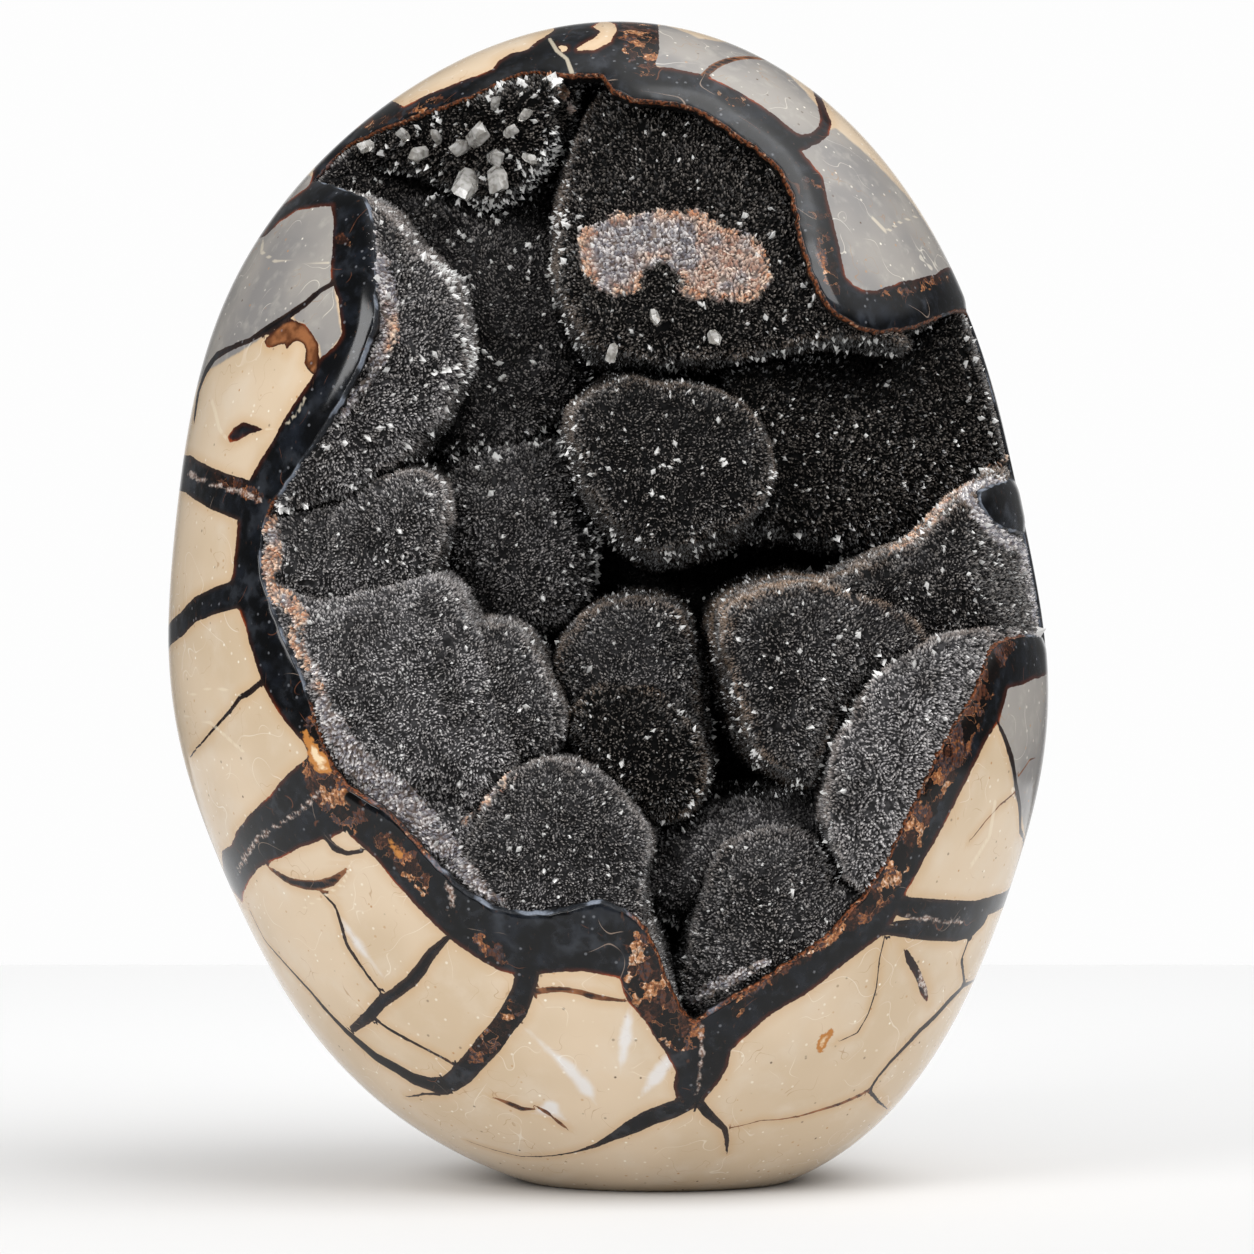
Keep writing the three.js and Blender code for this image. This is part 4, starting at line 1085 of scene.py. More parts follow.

# Each lump: its edge from the front, the y of its middle, its slopes along x and z, how far its middle
# swells past its edge, its bloom of pale dust from 0 to 1, how coarse its crystals are, how much of its
# edge is brown, and how many points on it are painted white as glints.
LUMPS = {
    "roof": ([(-76, 202), (-66, 212), (-50, 219), (-36, 225), (-20, 227), (-19, 212), (-23, 200),
              (-32, 193), (-46, 198), (-60, 200)], -27, -0.4, 0, 3, 0.0, 1.0, 0, 1.8),
    "deep wall": ([(-52, 197), (-35, 196), (-20, 198), (-14, 182), (-12, 166), (-15, 154), (-30, 145),
                   (-48, 146), (-46, 162), (-46, 178)], -26, 0, 0.25, 3, 0.3, 1.0, 0, 0.9),
    "notch": ([(-28, 226), (-16, 226), (-15, 212), (-18, 206), (-24, 206)],
              -27, 0, 0, 1, 0.0, 1.0, 0, 0.3),
    "block": ([(-13, 213), (-7, 220), (8, 216), (21, 208), (31, 197), (34, 182), (41, 171), (47, 166),
               (32, 165), (17, 162), (0, 161), (-12, 163), (-18, 171), (-20, 187), (-18, 200)],
              -42, 0, 0.4, 4, 0.03, 1.0, 0.3, 0.4),
    "plate": ([(-17, 151), (-12, 157), (0, 158), (16, 153), (21, 145), (21, 137), (17, 131), (0, 124),
               (-8, 128), (-14, 137)], -50, 0, 0, 2, 0.1, 0.9, 0.35, 0.4),
    "shoulder": ([(13, 162), (28, 166), (46, 169), (62, 178), (72, 172), (80, 142), (64, 138), (54, 131),
                  (44, 125), (28, 127), (14, 132)], -24, 0.58, 0, 3, 0.0, 0.95, 0, 0.3),
    "right slab": ([(30, 118), (38, 122), (48, 127), (59, 136), (72, 139), (84, 128), (84, 108),
                    (66, 107), (55, 105), (42, 112)], -39, 0.25, 0, 3, 0.2, 0.95, 0.5, 0.2),
    "edged lump": ([(12, 110), (14, 116), (24, 119), (37, 118), (50, 113), (55, 106), (47, 101), (38, 96),
                    (33, 88), (29, 80), (21, 84), (14, 96)], -51, 0.25, 0, 4, 0.3, 0.95, 1, 0.2),
    "rim lump": ([(50, 108), (66, 110), (84, 109), (76, 94), (62, 76), (52, 60), (42, 56), (33, 67),
                  (31, 80), (36, 94), (42, 103)], -49, 0.3, 0, 3, 1.0, 1.1, 0.3, 0.3),
    "right dome": ([(6, 54), (10, 66), (18, 72), (28, 72), (36, 64), (48, 58), (40, 44), (24, 34),
                    (10, 28), (4, 38)], -51, 0, 0, 5, 0.45, 0.95, 0.15, 0.1),
    "low ground": ([(-10, 62), (0, 71), (10, 76), (22, 79), (34, 79), (36, 68), (20, 60), (6, 52)],
                   -39, 0, 0, 2, 0.8, 1.0, 0, 0.3),
    "fold": ([(-61, 193), (-52, 190), (-44, 182), (-39, 174), (-36, 163), (-41, 151), (-50, 141),
              (-64, 134), (-84, 132), (-82, 148), (-72, 164),
              (-70, 182)], -49, 0.1, 0, 3, 0.65, 1.05, 0.2, 1),
    "small lump": ([(-86, 132), (-74, 135), (-61, 137), (-49, 141), (-41, 138), (-41, 127), (-45, 117),
                    (-60, 112), (-84, 112)], -48, -0.1, 0, 3, 0.7, 0.95, 0.3, 0.2),
    "middle wall": ([(-45, 141), (-35, 146), (-20, 147), (-14, 137), (-12, 122), (-17, 111), (-27, 107),
                     (-38, 111), (-44, 124)], -33, 0, 0, 4, 0.6, 1.0, 0, 0.9),
    "wide lump": ([(-84, 116), (-60, 117), (-43, 120), (-34, 111), (-29, 96), (-26, 85), (-34, 75),
                   (-46, 76), (-60, 78), (-76, 84), (-84, 100)], -56, -0.05, 0, 5, 1.0, 0.95, 0.1, 0.1),
    "side lump": ([(-40, 110), (-27, 110), (-19, 99), (-18, 88), (-27, 81), (-38, 88)],
                  -50, 0, 0, 2, 0.6, 0.95, 0.2, 0.2),
    "rim strip": ([(-74, 88), (-52, 88), (-36, 80), (-28, 66), (-32, 50), (-48, 52), (-66, 68)],
                  -52, 0, 0, 2, 1.0, 1.0, 0, 0.2),
    "left dome": ([(-39, 66), (-34, 77), (-23, 85), (-10, 82), (-2, 71), (-3, 60), (-5, 48), (-20, 44),
                   (-37, 50)], -59, 0, 0, 4, 0.5, 0.9, 0.15, 0.1),
    "upper bud": ([(-20, 105), (-14, 114), (-2, 117), (5, 114), (8, 100), (8, 86), (-4, 86), (-18, 92)],
                  -41, 0, 0, 3, 0.35, 0.9, 0.6, 0.3),
    "lower bud": ([(-19, 92), (-11, 100), (0, 99), (8, 90), (9, 79), (4, 73), (-4, 74), (-15, 82)],
                  -47, 0, 0, 3, 0.0, 0.9, 0.6, 0.4),
    "gully": ([(-10, 62), (4, 76), (24, 80), (26, 64), (16, 52), (16, 32), (4, 26), (-10, 46)],
              -29, 0, 0, 2, 0.4, 1.0, 0, 0.3),
}
PALE_PATCH = [  # a pinkish white patch on the block
    (-16, 184.5), (-14, 187), (-9, 190), (-2, 190.5), (7, 190.5), (13, 187), (17.5, 186), (20.5, 182),
    (21.5, 177.5), (20.5, 174), (16.5, 172.5), (9.5, 173), (4.5, 173.5), (3.5, 177.5), (1, 180),
    (-3, 179.5), (-3.5, 174.5), (-8, 173.5), (-11.5, 174.5), (-14.5, 178),
]
PALE_COARSE = 1.7  # its crystals are this much larger
WARM_SIDE = (7, 1.9)  # its right part, beyond this x, is warm all over, as it is this near to its edge
EDGE_SPARKLE = 2.5  # how much thicker the painted glints are sown along the edges of the lumps
WARM_LINES = [  # streaks of the same as the patch: x, z and half width
    [(-74.5, 131, 1.6), (-73.5, 125, 1.6), (-75.5, 118, 1.8), (-71, 115.5, 1.4), (-68, 112.5, 1.2),
     (-69.5, 108, 1), (-66.5, 103.5, 1.2), (-64, 99.5, 1)],
    [(-52.5, 171.5, 0.3), (-50.5, 167.5, 0.8), (-51.5, 163.5, 0.4)],
    [(-21, 217.5, 0.8), (-19, 214.5, 1), (-17.5, 211.5, 0.6)],
    [(44.5, 124.5, 0.3), (50, 128, 0.5), (55, 133, 0.7), (59, 137.5, 0.6), (64, 141, 0.5),
     (68.5, 144, 0.5)],
    [(-37, 73.5, 0.6), (-33.5, 76.5, 0.6), (-30.5, 79.5, 0.6), (-27.5, 83.5, 0.5)],
]
GREY_LINES = [  # and whitish grey ones beside the rim
    [(-68, 108, 0.4), (-64.5, 98, 1), (-61.5, 91, 2), (-57, 84, 3.2), (-51, 78.5, 3.6),
     (-45.5, 73.5, 3.4), (-40, 67.5, 2.4), (-34, 61, 1.4), (-29, 57.5, 0.5)],
    [(-76, 112, 0.6), (-72.5, 104, 1.2), (-68, 96, 1.2), (-65, 91, 0.8)],
    [(6, 39, 0.6), (10, 41.5, 1.4), (15, 44, 1.2), (20, 47, 0.5)],
    [(-55.5, 187, 0.6), (-54, 181, 1.4), (-52, 173, 2), (-51.5, 166, 1.8), (-56, 157, 1),
     (-61, 150, 0.5)],
    [(68, 139.5, 0.5), (63, 138, 1), (59.5, 136.5, 1.2), (60.5, 133, 1.4), (63.5, 129.5, 1.5),
     (68, 127, 1.5), (71, 126, 1.2), (73, 118, 0.8), (74.5, 108, 0.6)],
]


def over_grid(layers):
    """Smooth noise over the crust's grid, from layers of (size of its features, reach, seed)."""
    total = np.zeros_like(x)
    for size, reach, seed in layers:
        total[keep] += reach * wander(flat[keep], size, seed)
    return total


def patch_depth(outlines, lines):
    """How far the points of the grid lie inside outlines and lines, negative outside them."""
    depths = [polygon_depth(x, z, outline) for outline in outlines]
    return np.maximum.reduce(depths + [plane_line_depth(x, z, line) for line in lines])


# The grid, seen from the front. Where the hollow is open round the shoulder, the outermost points move
# in until they lie on the limb.
grid_x = np.arange(*GRID_X, GRID)
grid_z = np.arange(*GRID_Z, GRID)
x, z = (a.ravel() for a in np.meshgrid(grid_x, grid_z))
_, share = egg_front(x, z, SUNK)
_, share_beside = egg_front(x + NUDGE, z, SUNK)
past = np.clip(share - LIMB, 0, None) / np.maximum(np.abs(share_beside - share) / NUDGE, 1e-6)
past[past > LIMB_REACH * GRID] = np.inf
at_limb = np.where((past > 0) & np.isfinite(past), past, 0)
x = x - at_limb * np.sign(x - EGG_CENTRE[0])
skin_y, _ = egg_front(x, z, SUNK)
keep = np.isfinite(past) & (mouth_depth(x, skin_y, z) > -UNDER_SKIN)
flat = np.stack([x, np.zeros_like(x), z], axis=-1)

# The lumps: at each point the one that stands out furthest shows, and passes on what belongs to it.
warped_x, warped_z = x + over_grid(WARP_X), z + over_grid(WARP_Z)
depth = FLOOR_Y + FLOOR_SLOPE_X * x + FLOOR_SLOPE_Z * z
bloom = np.full(len(x), FLOOR_BLOOM)
coarse = np.ones(len(x))
lump_edge = np.zeros(len(x))
brown = np.zeros(len(x))
sparkle = np.full(len(x), FLOOR_SPARKLE)
for edge, middle_y, slope_x, slope_z, swell, dust, coarseness, browned, sparkling in LUMPS.values():
    outline = smooth_outline(edge)
    middle_x, middle_z = outline.mean(axis=0)
    in_by = polygon_depth(warped_x, warped_z, outline) - EDGE_IN
    widest = in_by.max()
    crown = middle_y + slope_x * (x - middle_x) + slope_z * (z - middle_z)
    fall = swell * (1 - np.clip((in_by - 0.5 * ROUNDING) / (widest - 0.5 * ROUNDING), 0, 1)) ** 2
    lip = np.clip(in_by, 0, ROUNDING)
    fall += ROUNDING - np.sqrt(ROUNDING**2 - (ROUNDING - lip) ** 2)
    fall += WALL_SLOPE * np.clip(-in_by, 0, None)
    wins = crown + fall < depth
    depth = np.where(wins, crown + fall, depth)
    bloom = np.where(wins, dust, bloom)
    coarse = np.where(wins, coarseness, coarse)
    lump_edge = np.where(wins, np.clip(1 - in_by / EDGE_WIDTH, 0, 1), lump_edge)
    brown = np.where(wins, browned, brown)
    sparkle = np.where(wins, sparkling, sparkle)
at_rim = skin_y + RIM_DROP + WALL_SLOPE * np.clip(mouth_depth(x, skin_y, z) + RIM_IN, 0, None)
by_rim = at_rim < depth
depth = np.where(by_rim, at_rim, depth)

# The clefts between them, which little light reaches, from how steeply the ground climbs round a point.
# Painted shade: the crust's ground and its points are painted near black by this, in the clefts.
heights = np.where(keep, depth, 0.0).reshape(len(grid_z), len(grid_x))
cleft_shade = np.zeros_like(heights)
for way_x, way_z, weight in CLEFT_WAYS:
    steepest = np.zeros_like(heights)
    for step in CLEFT_STEPS:
        there = np.roll(heights, (-step * way_z, -step * way_x), axis=(0, 1))
        steepest = np.maximum(steepest, (heights - there) / (step * GRID * math.hypot(way_x, way_z)))
    cleft_shade += weight * np.clip(steepest / CLEFT_SLOPE, 0, 1)

# The crust on them, its pale and warm patches and how thick its painted glints are sown.
crust_y = depth + CRYSTAL_REACH + np.where(by_rim, 0, over_grid(RELIEF))
crust_y = np.maximum(crust_y, skin_y + UNDER_POLISH)
warm = patch_depth([PALE_PATCH], WARM_LINES)
pale = np.maximum(warm, patch_depth([], GREY_LINES))
warm_x, warm_depth = WARM_SIDE
pale = np.where((x > warm_x) & (warm > 0), np.minimum(pale, warm_depth), pale)
coarse = np.where(pale > 0, PALE_COARSE * coarse, coarse)
thick, change = CLUSTERED
gathered = np.clip(thick + change * over_grid(CLUSTERS), *CLUSTER_LIMITS)
sparkle = sparkle * gathered * (1 + EDGE_SPARKLE * lump_edge)

number = np.full(len(x), -1)
number[keep] = np.arange(keep.sum())
number = number.reshape(len(grid_z), len(grid_x))
a, b, d, c = number[:-1, :-1], number[:-1, 1:], number[1:, :-1], number[1:, 1:]
crust_triangles = np.concatenate([np.stack(three, -1).reshape(-1, 3) for three in ([a, b, c], [a, c, d])])
crust_triangles = crust_triangles[(crust_triangles >= 0).all(axis=1)]
crust_points = np.stack([x, crust_y, z], axis=-1)[keep]
crust_values = {
    "bloom": bloom[keep],
    "coarse": coarse[keep],
    "lump_edge": (lump_edge * brown)[keep],
    "cleft_shade": cleft_shade.ravel()[keep],
    "sparkle": sparkle[keep],
    "pale": np.clip(pale[keep], -FAR, FAR),
    "warm": np.clip(warm[keep] + 1, 0, 1),
}
crust = make_mesh("crystal_crust_ground", crust_points, crust_triangles)
add_values(crust, crust_values)

# Its ground between the crystals: nearly black, greyer where dusty or pale, and painted shade in the
# clefts.
ground, tree = new_material("dark_calcite_ground")
here = add("ShaderNodeTexCoord", give="Object")
between = add("ShaderNodeMix", [
    add("ShaderNodeMapRange", [
        add("ShaderNodeTexNoise", sized(1.5, 3)), 0.4, 0.7,
    ], interpolation_type="SMOOTHSTEP"),
    colour("#020202"), colour("#060606"),
], data_type="RGBA")
dust = add("ShaderNodeMath", [
    add("ShaderNodeAttribute", attribute_name="bloom", give="Fac"),
    add("ShaderNodeMapRange", [
        add("ShaderNodeTexNoise", sized(9, 3)), 0.3, 0.65, 0.4, 1.1,
    ], interpolation_type="SMOOTHSTEP"),
], operation="MULTIPLY")
dust = add("ShaderNodeMath", [
    dust,
    add("ShaderNodeMapRange", [
        add("ShaderNodeTexNoise", sized(1.4, 3)), 0.38, 0.62, 0.35, 1.15,
    ], interpolation_type="SMOOTHSTEP"),
], operation="MULTIPLY")
between = add("ShaderNodeMix", [dust, between, colour("#434243")], data_type="RGBA")
pale_here = add("ShaderNodeMapRange", [
    add("ShaderNodeMath", [
        add("ShaderNodeAttribute", attribute_name="pale", give="Fac"),
        add("ShaderNodeTexNoise", sized(2)),
    ], operation="ADD"),
    0.3, 0.8,
], interpolation_type="SMOOTHSTEP")
between = add("ShaderNodeMix", [pale_here, between, colour("#94887f")], data_type="RGBA")
# painted shade: the ground is painted near black in the clefts between the lumps
between = add("ShaderNodeMix", [
    add("ShaderNodeMapRange", [
        add("ShaderNodeAttribute", attribute_name="cleft_shade", give="Fac"), 0.2, 0.75, 0.0, 0.93,
    ], interpolation_type="SMOOTHSTEP"),
    between, colour("#030303"),
], data_type="RGBA")
shader_inputs = {"Base Color": between, "Roughness": 0.9, "IOR": 1.2}
shader = add("ShaderNodeBsdfPrincipled", shader_inputs)
add("ShaderNodeOutputMaterial", {"Surface": shader})
crust.data.materials.append(ground)
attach(crust, "root")
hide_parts("crystal_crust")

# ---- the small crystals ----
# A fur of steep calcite points, most of them dark, each about as wide as a pinhead and flattened so that
# a swirl of short ridges covers the crust. They are strewn over the crust, each with its own lean.

CRYSTAL_SPACING = 0.28  # before the furrows are cleared
CRYSTAL_WIDTH = 1.4
CRYSTAL_FLAT = 0.62  # its narrow side, as a share of its wide side
CRYSTAL_LENGTH = 1.05
CRYSTAL_SIZES = (0.65, 1.25)  # from the smallest to the largest, times the width and the length
CRYSTAL_SUNK = 0.3  # its middle stands this far into the crust, as a share of its length
CRYSTAL_LEAN = 0.35  # radians, at most
CRYSTAL_TWIST = 0.5  # and how far it turns about itself
SWIRL = 4.8  # the rows follow the contours of a noise with features of this size
SWIRL_STEP = 0.2  # to find its contours
ROWS = 17.0  # rows from the noise's lowest value to its highest
FURROW = -0.45  # a row is a wave from -1 to 1, and what lies lower than this stays bare
GLINT_SHARE = 0.018  # of the crystals are painted white as glints, where there are most of them
GLINT_SIZE = 1.7  # times as large as the rest
BANDS = [(28, 84), (84, 118), (118, 146), (146, 176), (176, 224)]  # each piece covers these heights

# What the points look like. Their tips are painted pale, as painted light,
# and their feet near black, as painted shade between the points.
druse, tree = new_material("dark_calcite_points")
here = add("ShaderNodeTexCoord", give="Object")
tone = add("ShaderNodeAttribute", attribute_name="tone", give="Fac")
# painted light and shade: how far up its point each place is, from the near-black foot to the pale tip
tip = add("ShaderNodeMapRange", [
    add("ShaderNodeAttribute", attribute_name="tip", give="Fac"), 0.35, 0.85,
], interpolation_type="SMOOTHSTEP")
dust = add("ShaderNodeMath", [
    add("ShaderNodeAttribute", attribute_name="bloom", give="Fac"),
    add("ShaderNodeMapRange", [
        add("ShaderNodeTexNoise", sized(9, 3)), 0.3, 0.65, 0.45, 1.1,
    ], interpolation_type="SMOOTHSTEP"),
], operation="MULTIPLY")
dust = add("ShaderNodeMath", [
    dust,
    add("ShaderNodeMapRange", [
        add("ShaderNodeTexNoise", sized(2.6, 3)), 0.35, 0.62, 0.6, 1.15,
    ], interpolation_type="SMOOTHSTEP"),
], operation="MULTIPLY")
bare_tip = add("ShaderNodeMix", [
    add("ShaderNodeMath", [tone, 2.0], operation="POWER"), colour("#1a1817"), colour("#8f8882"),
], data_type="RGBA")
dusty_tip = add("ShaderNodeMix", [tone, colour("#807d7e"), colour("#e4e0df")], data_type="RGBA")
tip_colour = add("ShaderNodeMix", [dust, bare_tip, dusty_tip], data_type="RGBA")
edge_share = add("ShaderNodeMath", [
    add("ShaderNodeAttribute", attribute_name="lump_edge", give="Fac"),
    add("ShaderNodeMapRange", [
        add("ShaderNodeTexNoise", sized(6, 2)), 0.35, 0.6,
    ], interpolation_type="SMOOTHSTEP"),
], operation="MULTIPLY")
tip_colour = add("ShaderNodeMix", [
    add("ShaderNodeMath", [edge_share, 0.9], operation="MULTIPLY"), tip_colour, colour("#a98f79"),
], data_type="RGBA")
pale_in = add("ShaderNodeMapRange", [
    add("ShaderNodeMath", [
        add("ShaderNodeAttribute", attribute_name="pale", give="Fac"), uneven(2.0, 3, 5.0),
    ], operation="ADD"),
    0.0, 0.4,
], interpolation_type="SMOOTHSTEP")
pale_tip = add("ShaderNodeMix", [
    add("ShaderNodeMapRange", [tone, 0.2, 0.6], interpolation_type="SMOOTHSTEP"), colour("#85838a"),
    colour("#d4d1d2"),
], data_type="RGBA")
pale_tip = add("ShaderNodeMix", [
    add("ShaderNodeMapRange", [tone, 0.6, 0.95], interpolation_type="SMOOTHSTEP"), pale_tip,
    colour("#f6f1ee"),
], data_type="RGBA")
pale_tip = add("ShaderNodeMix", [
    add("ShaderNodeMapRange", [
        add("ShaderNodeTexNoise", sized(2.5, 3)), 0.5, 0.7, 0, 0.6,
    ], interpolation_type="SMOOTHSTEP"),
    pale_tip, colour("#666a75"),
], data_type="RGBA")
orange = add("ShaderNodeMath", [
    add("ShaderNodeMapRange", [
        add("ShaderNodeAttribute", attribute_name="pale", give="Fac"), 3.6, 0.5,
    ], interpolation_type="SMOOTHSTEP"),
    add("ShaderNodeMapRange", [
        add("ShaderNodeTexNoise", sized(5, 2)), 0.36, 0.52,
    ], interpolation_type="SMOOTHSTEP"),
], operation="MULTIPLY")
orange = add("ShaderNodeMath", [
    orange, add("ShaderNodeAttribute", attribute_name="warm", give="Fac"),
], operation="MULTIPLY")
orange_tip = add("ShaderNodeMix", [tone, colour("#d08f64"), colour("#fbe2c8")], data_type="RGBA")
pale_tip = add("ShaderNodeMix", [
    add("ShaderNodeMath", [orange, 0.95], operation="MULTIPLY"), pale_tip, orange_tip,
], data_type="RGBA")
tip_colour = add("ShaderNodeMix", [pale_in, tip_colour, pale_tip], data_type="RGBA")
# the feet: near black as painted shade between the points, greyer where dusty or pale
foot_colour = add("ShaderNodeMix", [dust, colour("#050505"), colour("#464547")], data_type="RGBA")
foot_colour = add("ShaderNodeMix", [pale_in, foot_colour, colour("#8a7d78")], data_type="RGBA")
point_colour = add("ShaderNodeMix", [tip, foot_colour, tip_colour], data_type="RGBA")
# painted shade: in the clefts between the lumps the points are painted near black
shade = add("ShaderNodeMapRange", [
    add("ShaderNodeAttribute", attribute_name="cleft_shade", give="Fac"), 0.15, 0.7, 0.0, 0.93,
], interpolation_type="SMOOTHSTEP")
point_colour = add("ShaderNodeMix", [shade, point_colour, colour("#030303")], data_type="RGBA")
# painted glints: a few more points are painted white, but none in the clefts
small_glint = add("ShaderNodeMath", [
    add("ShaderNodeMapRange", [tone, 0.982, 0.986], interpolation_type="SMOOTHSTEP"),
    add("ShaderNodeMapRange", [
        add("ShaderNodeAttribute", attribute_name="cleft_shade", give="Fac"), 0.7, 0.3,
    ], interpolation_type="SMOOTHSTEP"),
], operation="MULTIPLY")
point_colour = add("ShaderNodeMix", [
    add("ShaderNodeMath", [
        add("ShaderNodeAttribute", attribute_name="white", give="Fac"), small_glint,
    ], operation="MAXIMUM"),
    point_colour, colour("#e9e8e6"),
], data_type="RGBA")
shader_inputs = {"Base Color": point_colour, "Roughness": 0.22, "IOR": 1.6}
shader = add("ShaderNodeBsdfPrincipled", shader_inputs)
add("ShaderNodeOutputMaterial", {"Surface": shader})

# What strews them: a node tree that takes a surface, a spacing, a width, a length and a seed.
strewer = tree = bpy.data.node_groups.new("strewn_crystals", "GeometryNodeTree")
SOCKETS = {
    "Surface": "NodeSocketGeometry", "Spacing": "NodeSocketFloat", "Width": "NodeSocketFloat",
    "Length": "NodeSocketFloat", "Seed": "NodeSocketInt",
}
for name, kind in SOCKETS.items():
    tree.interface.new_socket(name, in_out="INPUT", socket_type=kind)
tree.interface.new_socket("Crystals", in_out="OUTPUT", socket_type="NodeSocketGeometry")
add("NodeGroupInput")
given = tree.nodes[-1].outputs

# Where they stand, and which of them are painted white as glints.
points = add("GeometryNodeDistributePointsOnFaces", {
    "Mesh": given["Surface"],
    "Distance Min": given["Spacing"],
    "Density Max": add("ShaderNodeMath", [given["Spacing"], -2.0], operation="POWER"),
    "Seed": given["Seed"],
}, distribute_method="POISSON")
stand = output("Rotation")
tone = add("FunctionNodeRandomValue", {"Min": 0.0, "Max": 1.0, "Seed": 1}, data_type="FLOAT")
sparkle = add("GeometryNodeInputNamedAttribute", {"Name": "sparkle"}, data_type="FLOAT")
white = add("ShaderNodeMath", [
    tone, add("ShaderNodeMath", [sparkle, -GLINT_SHARE, 1.0], operation="MULTIPLY_ADD"),
], operation="GREATER_THAN")
stored = {"data_type": "FLOAT", "domain": "POINT"}
for name, numbers in (("tone", tone), ("white", white)):
    points = {"Geometry": points, "Name": name, "Value": numbers}
    points = add("GeometryNodeStoreNamedAttribute", points, **stored)

# They stand in rows along the contours of a noise, with their wide sides along the row, and lean.
place = add("GeometryNodeInputPosition")
swirl = {"Scale": 1 / (SWIRL * MM), "Detail": 0.0}
swirl_here = add("ShaderNodeTexNoise", {"Vector": place, **swirl})
slopes = []
for step in np.eye(3) * SWIRL_STEP * MM:
    beside = add("ShaderNodeVectorMath", {0: place, 1: tuple(step)}, operation="ADD")
    swirl_beside = add("ShaderNodeTexNoise", {"Vector": beside, **swirl})
    slopes.append(add("ShaderNodeMath", [swirl_beside, swirl_here], operation="SUBTRACT"))
uphill = add("ShaderNodeCombineXYZ", dict(enumerate(slopes)))
row = add("ShaderNodeMath", [
    add("ShaderNodeMath", [swirl_here, ROWS * math.tau], operation="MULTIPLY"),
], operation="SINE")
in_row = add("ShaderNodeMath", [row, FURROW], operation="GREATER_THAN")
normal = add("FunctionNodeRotateVector", {"Vector": (0, 0, 1), "Rotation": stand})
along = add("ShaderNodeVectorMath", {0: normal, 1: uphill}, operation="CROSS_PRODUCT")
stand = add("FunctionNodeAxesToRotation", {"Primary Axis": normal, "Secondary Axis": along},
            primary_axis="Z", secondary_axis="X")
lean = add("FunctionNodeRandomValue", {
    "Min": (-CRYSTAL_LEAN, -CRYSTAL_LEAN, -CRYSTAL_TWIST),
    "Max": (CRYSTAL_LEAN, CRYSTAL_LEAN, CRYSTAL_TWIST), "Seed": 2,
}, data_type="FLOAT_VECTOR")
lean = add("FunctionNodeEulerToRotation", {0: lean})
stand = add("FunctionNodeRotateRotation", {0: stand, 1: lean}, rotation_space="LOCAL")

# How large they are, and what each of them is: a cone with four sides.
coarse = add("GeometryNodeInputNamedAttribute", {"Name": "coarse"}, data_type="FLOAT")
size = {"Min": CRYSTAL_SIZES[0], "Max": CRYSTAL_SIZES[1], "Seed": 3}
size = add("FunctionNodeRandomValue", size, data_type="FLOAT")
size = add("ShaderNodeMath", [size, coarse], operation="MULTIPLY")
size = add("ShaderNodeMath", [
    size, add("ShaderNodeMath", [white, GLINT_SIZE - 1, 1.0], operation="MULTIPLY_ADD"),
], operation="MULTIPLY")
wide = add("ShaderNodeMath", [size, given["Width"]], operation="MULTIPLY")
scale = add("ShaderNodeCombineXYZ", {
    "X": wide,
    "Y": add("ShaderNodeMath", [wide, CRYSTAL_FLAT], operation="MULTIPLY"),
    "Z": add("ShaderNodeMath", [size, given["Length"]], operation="MULTIPLY"),
})
point = add("GeometryNodeMeshCone", {
    "Vertices": 4, "Radius Top": 0.0, "Radius Bottom": 0.5, "Depth": 1.0,
}, fill_type="NGON")
add("ShaderNodeSeparateXYZ", {0: add("GeometryNodeInputPosition")})
point = {"Geometry": point, "Name": "tip", "Value": output("Z")}
point = add("GeometryNodeStoreNamedAttribute", point, **stored)
point = add("GeometryNodeTransform", {"Geometry": point, "Translation": (0, 0, -CRYSTAL_SUNK)})
strewn = add("GeometryNodeInstanceOnPoints", {
    "Points": points, "Selection": in_row, "Instance": point, "Rotation": stand, "Scale": scale,
})
strewn = add("GeometryNodeRealizeInstances", {"Geometry": strewn})
strewn = add("GeometryNodeSetMaterial", {"Geometry": strewn, "Material": druse})
add("NodeGroupOutput", {"Crystals": strewn})

# They are made over one band of the crust after another.
given_values = {
    "Spacing": CRYSTAL_SPACING * MM, "Width": CRYSTAL_WIDTH * MM, "Length": CRYSTAL_LENGTH * MM,
}
socket_of = {item.name: item.identifier for item in strewer.interface.items_tree}
middle_z = crust_points[crust_triangles][:, :, 2].mean(axis=1)
for count, (low, high) in enumerate(BANDS, 1):
    used, part = np.unique(crust_triangles[(middle_z >= low) & (middle_z < high)], return_inverse=True)
    field = make_mesh(f"field_{count}", crust_points[used], part.reshape(-1, 3))
    add_values(field, {name: numbers[used] for name, numbers in crust_values.items()})
    strew = field.modifiers.new("strew", "NODES")
    strew.node_group = strewer
    for name, number in {**given_values, "Seed": count}.items():
        strew[socket_of[name]] = number
    seen = field.evaluated_get(bpy.context.evaluated_depsgraph_get())
    points_mesh = bpy.data.meshes.new_from_object(seen)
    crystals = bpy.data.objects.new(f"calcite_points_{count}", points_mesh)
    bpy.context.scene.collection.objects.link(crystals)
    bpy.data.objects.remove(field)
    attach(crystals, "root")
    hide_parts("crystal_crust")

# ---- the clear crystals ----
# Larger crystals of clear calcite on the roof piece and the block: six-sided columns with blunt points,
# each a little frosted.

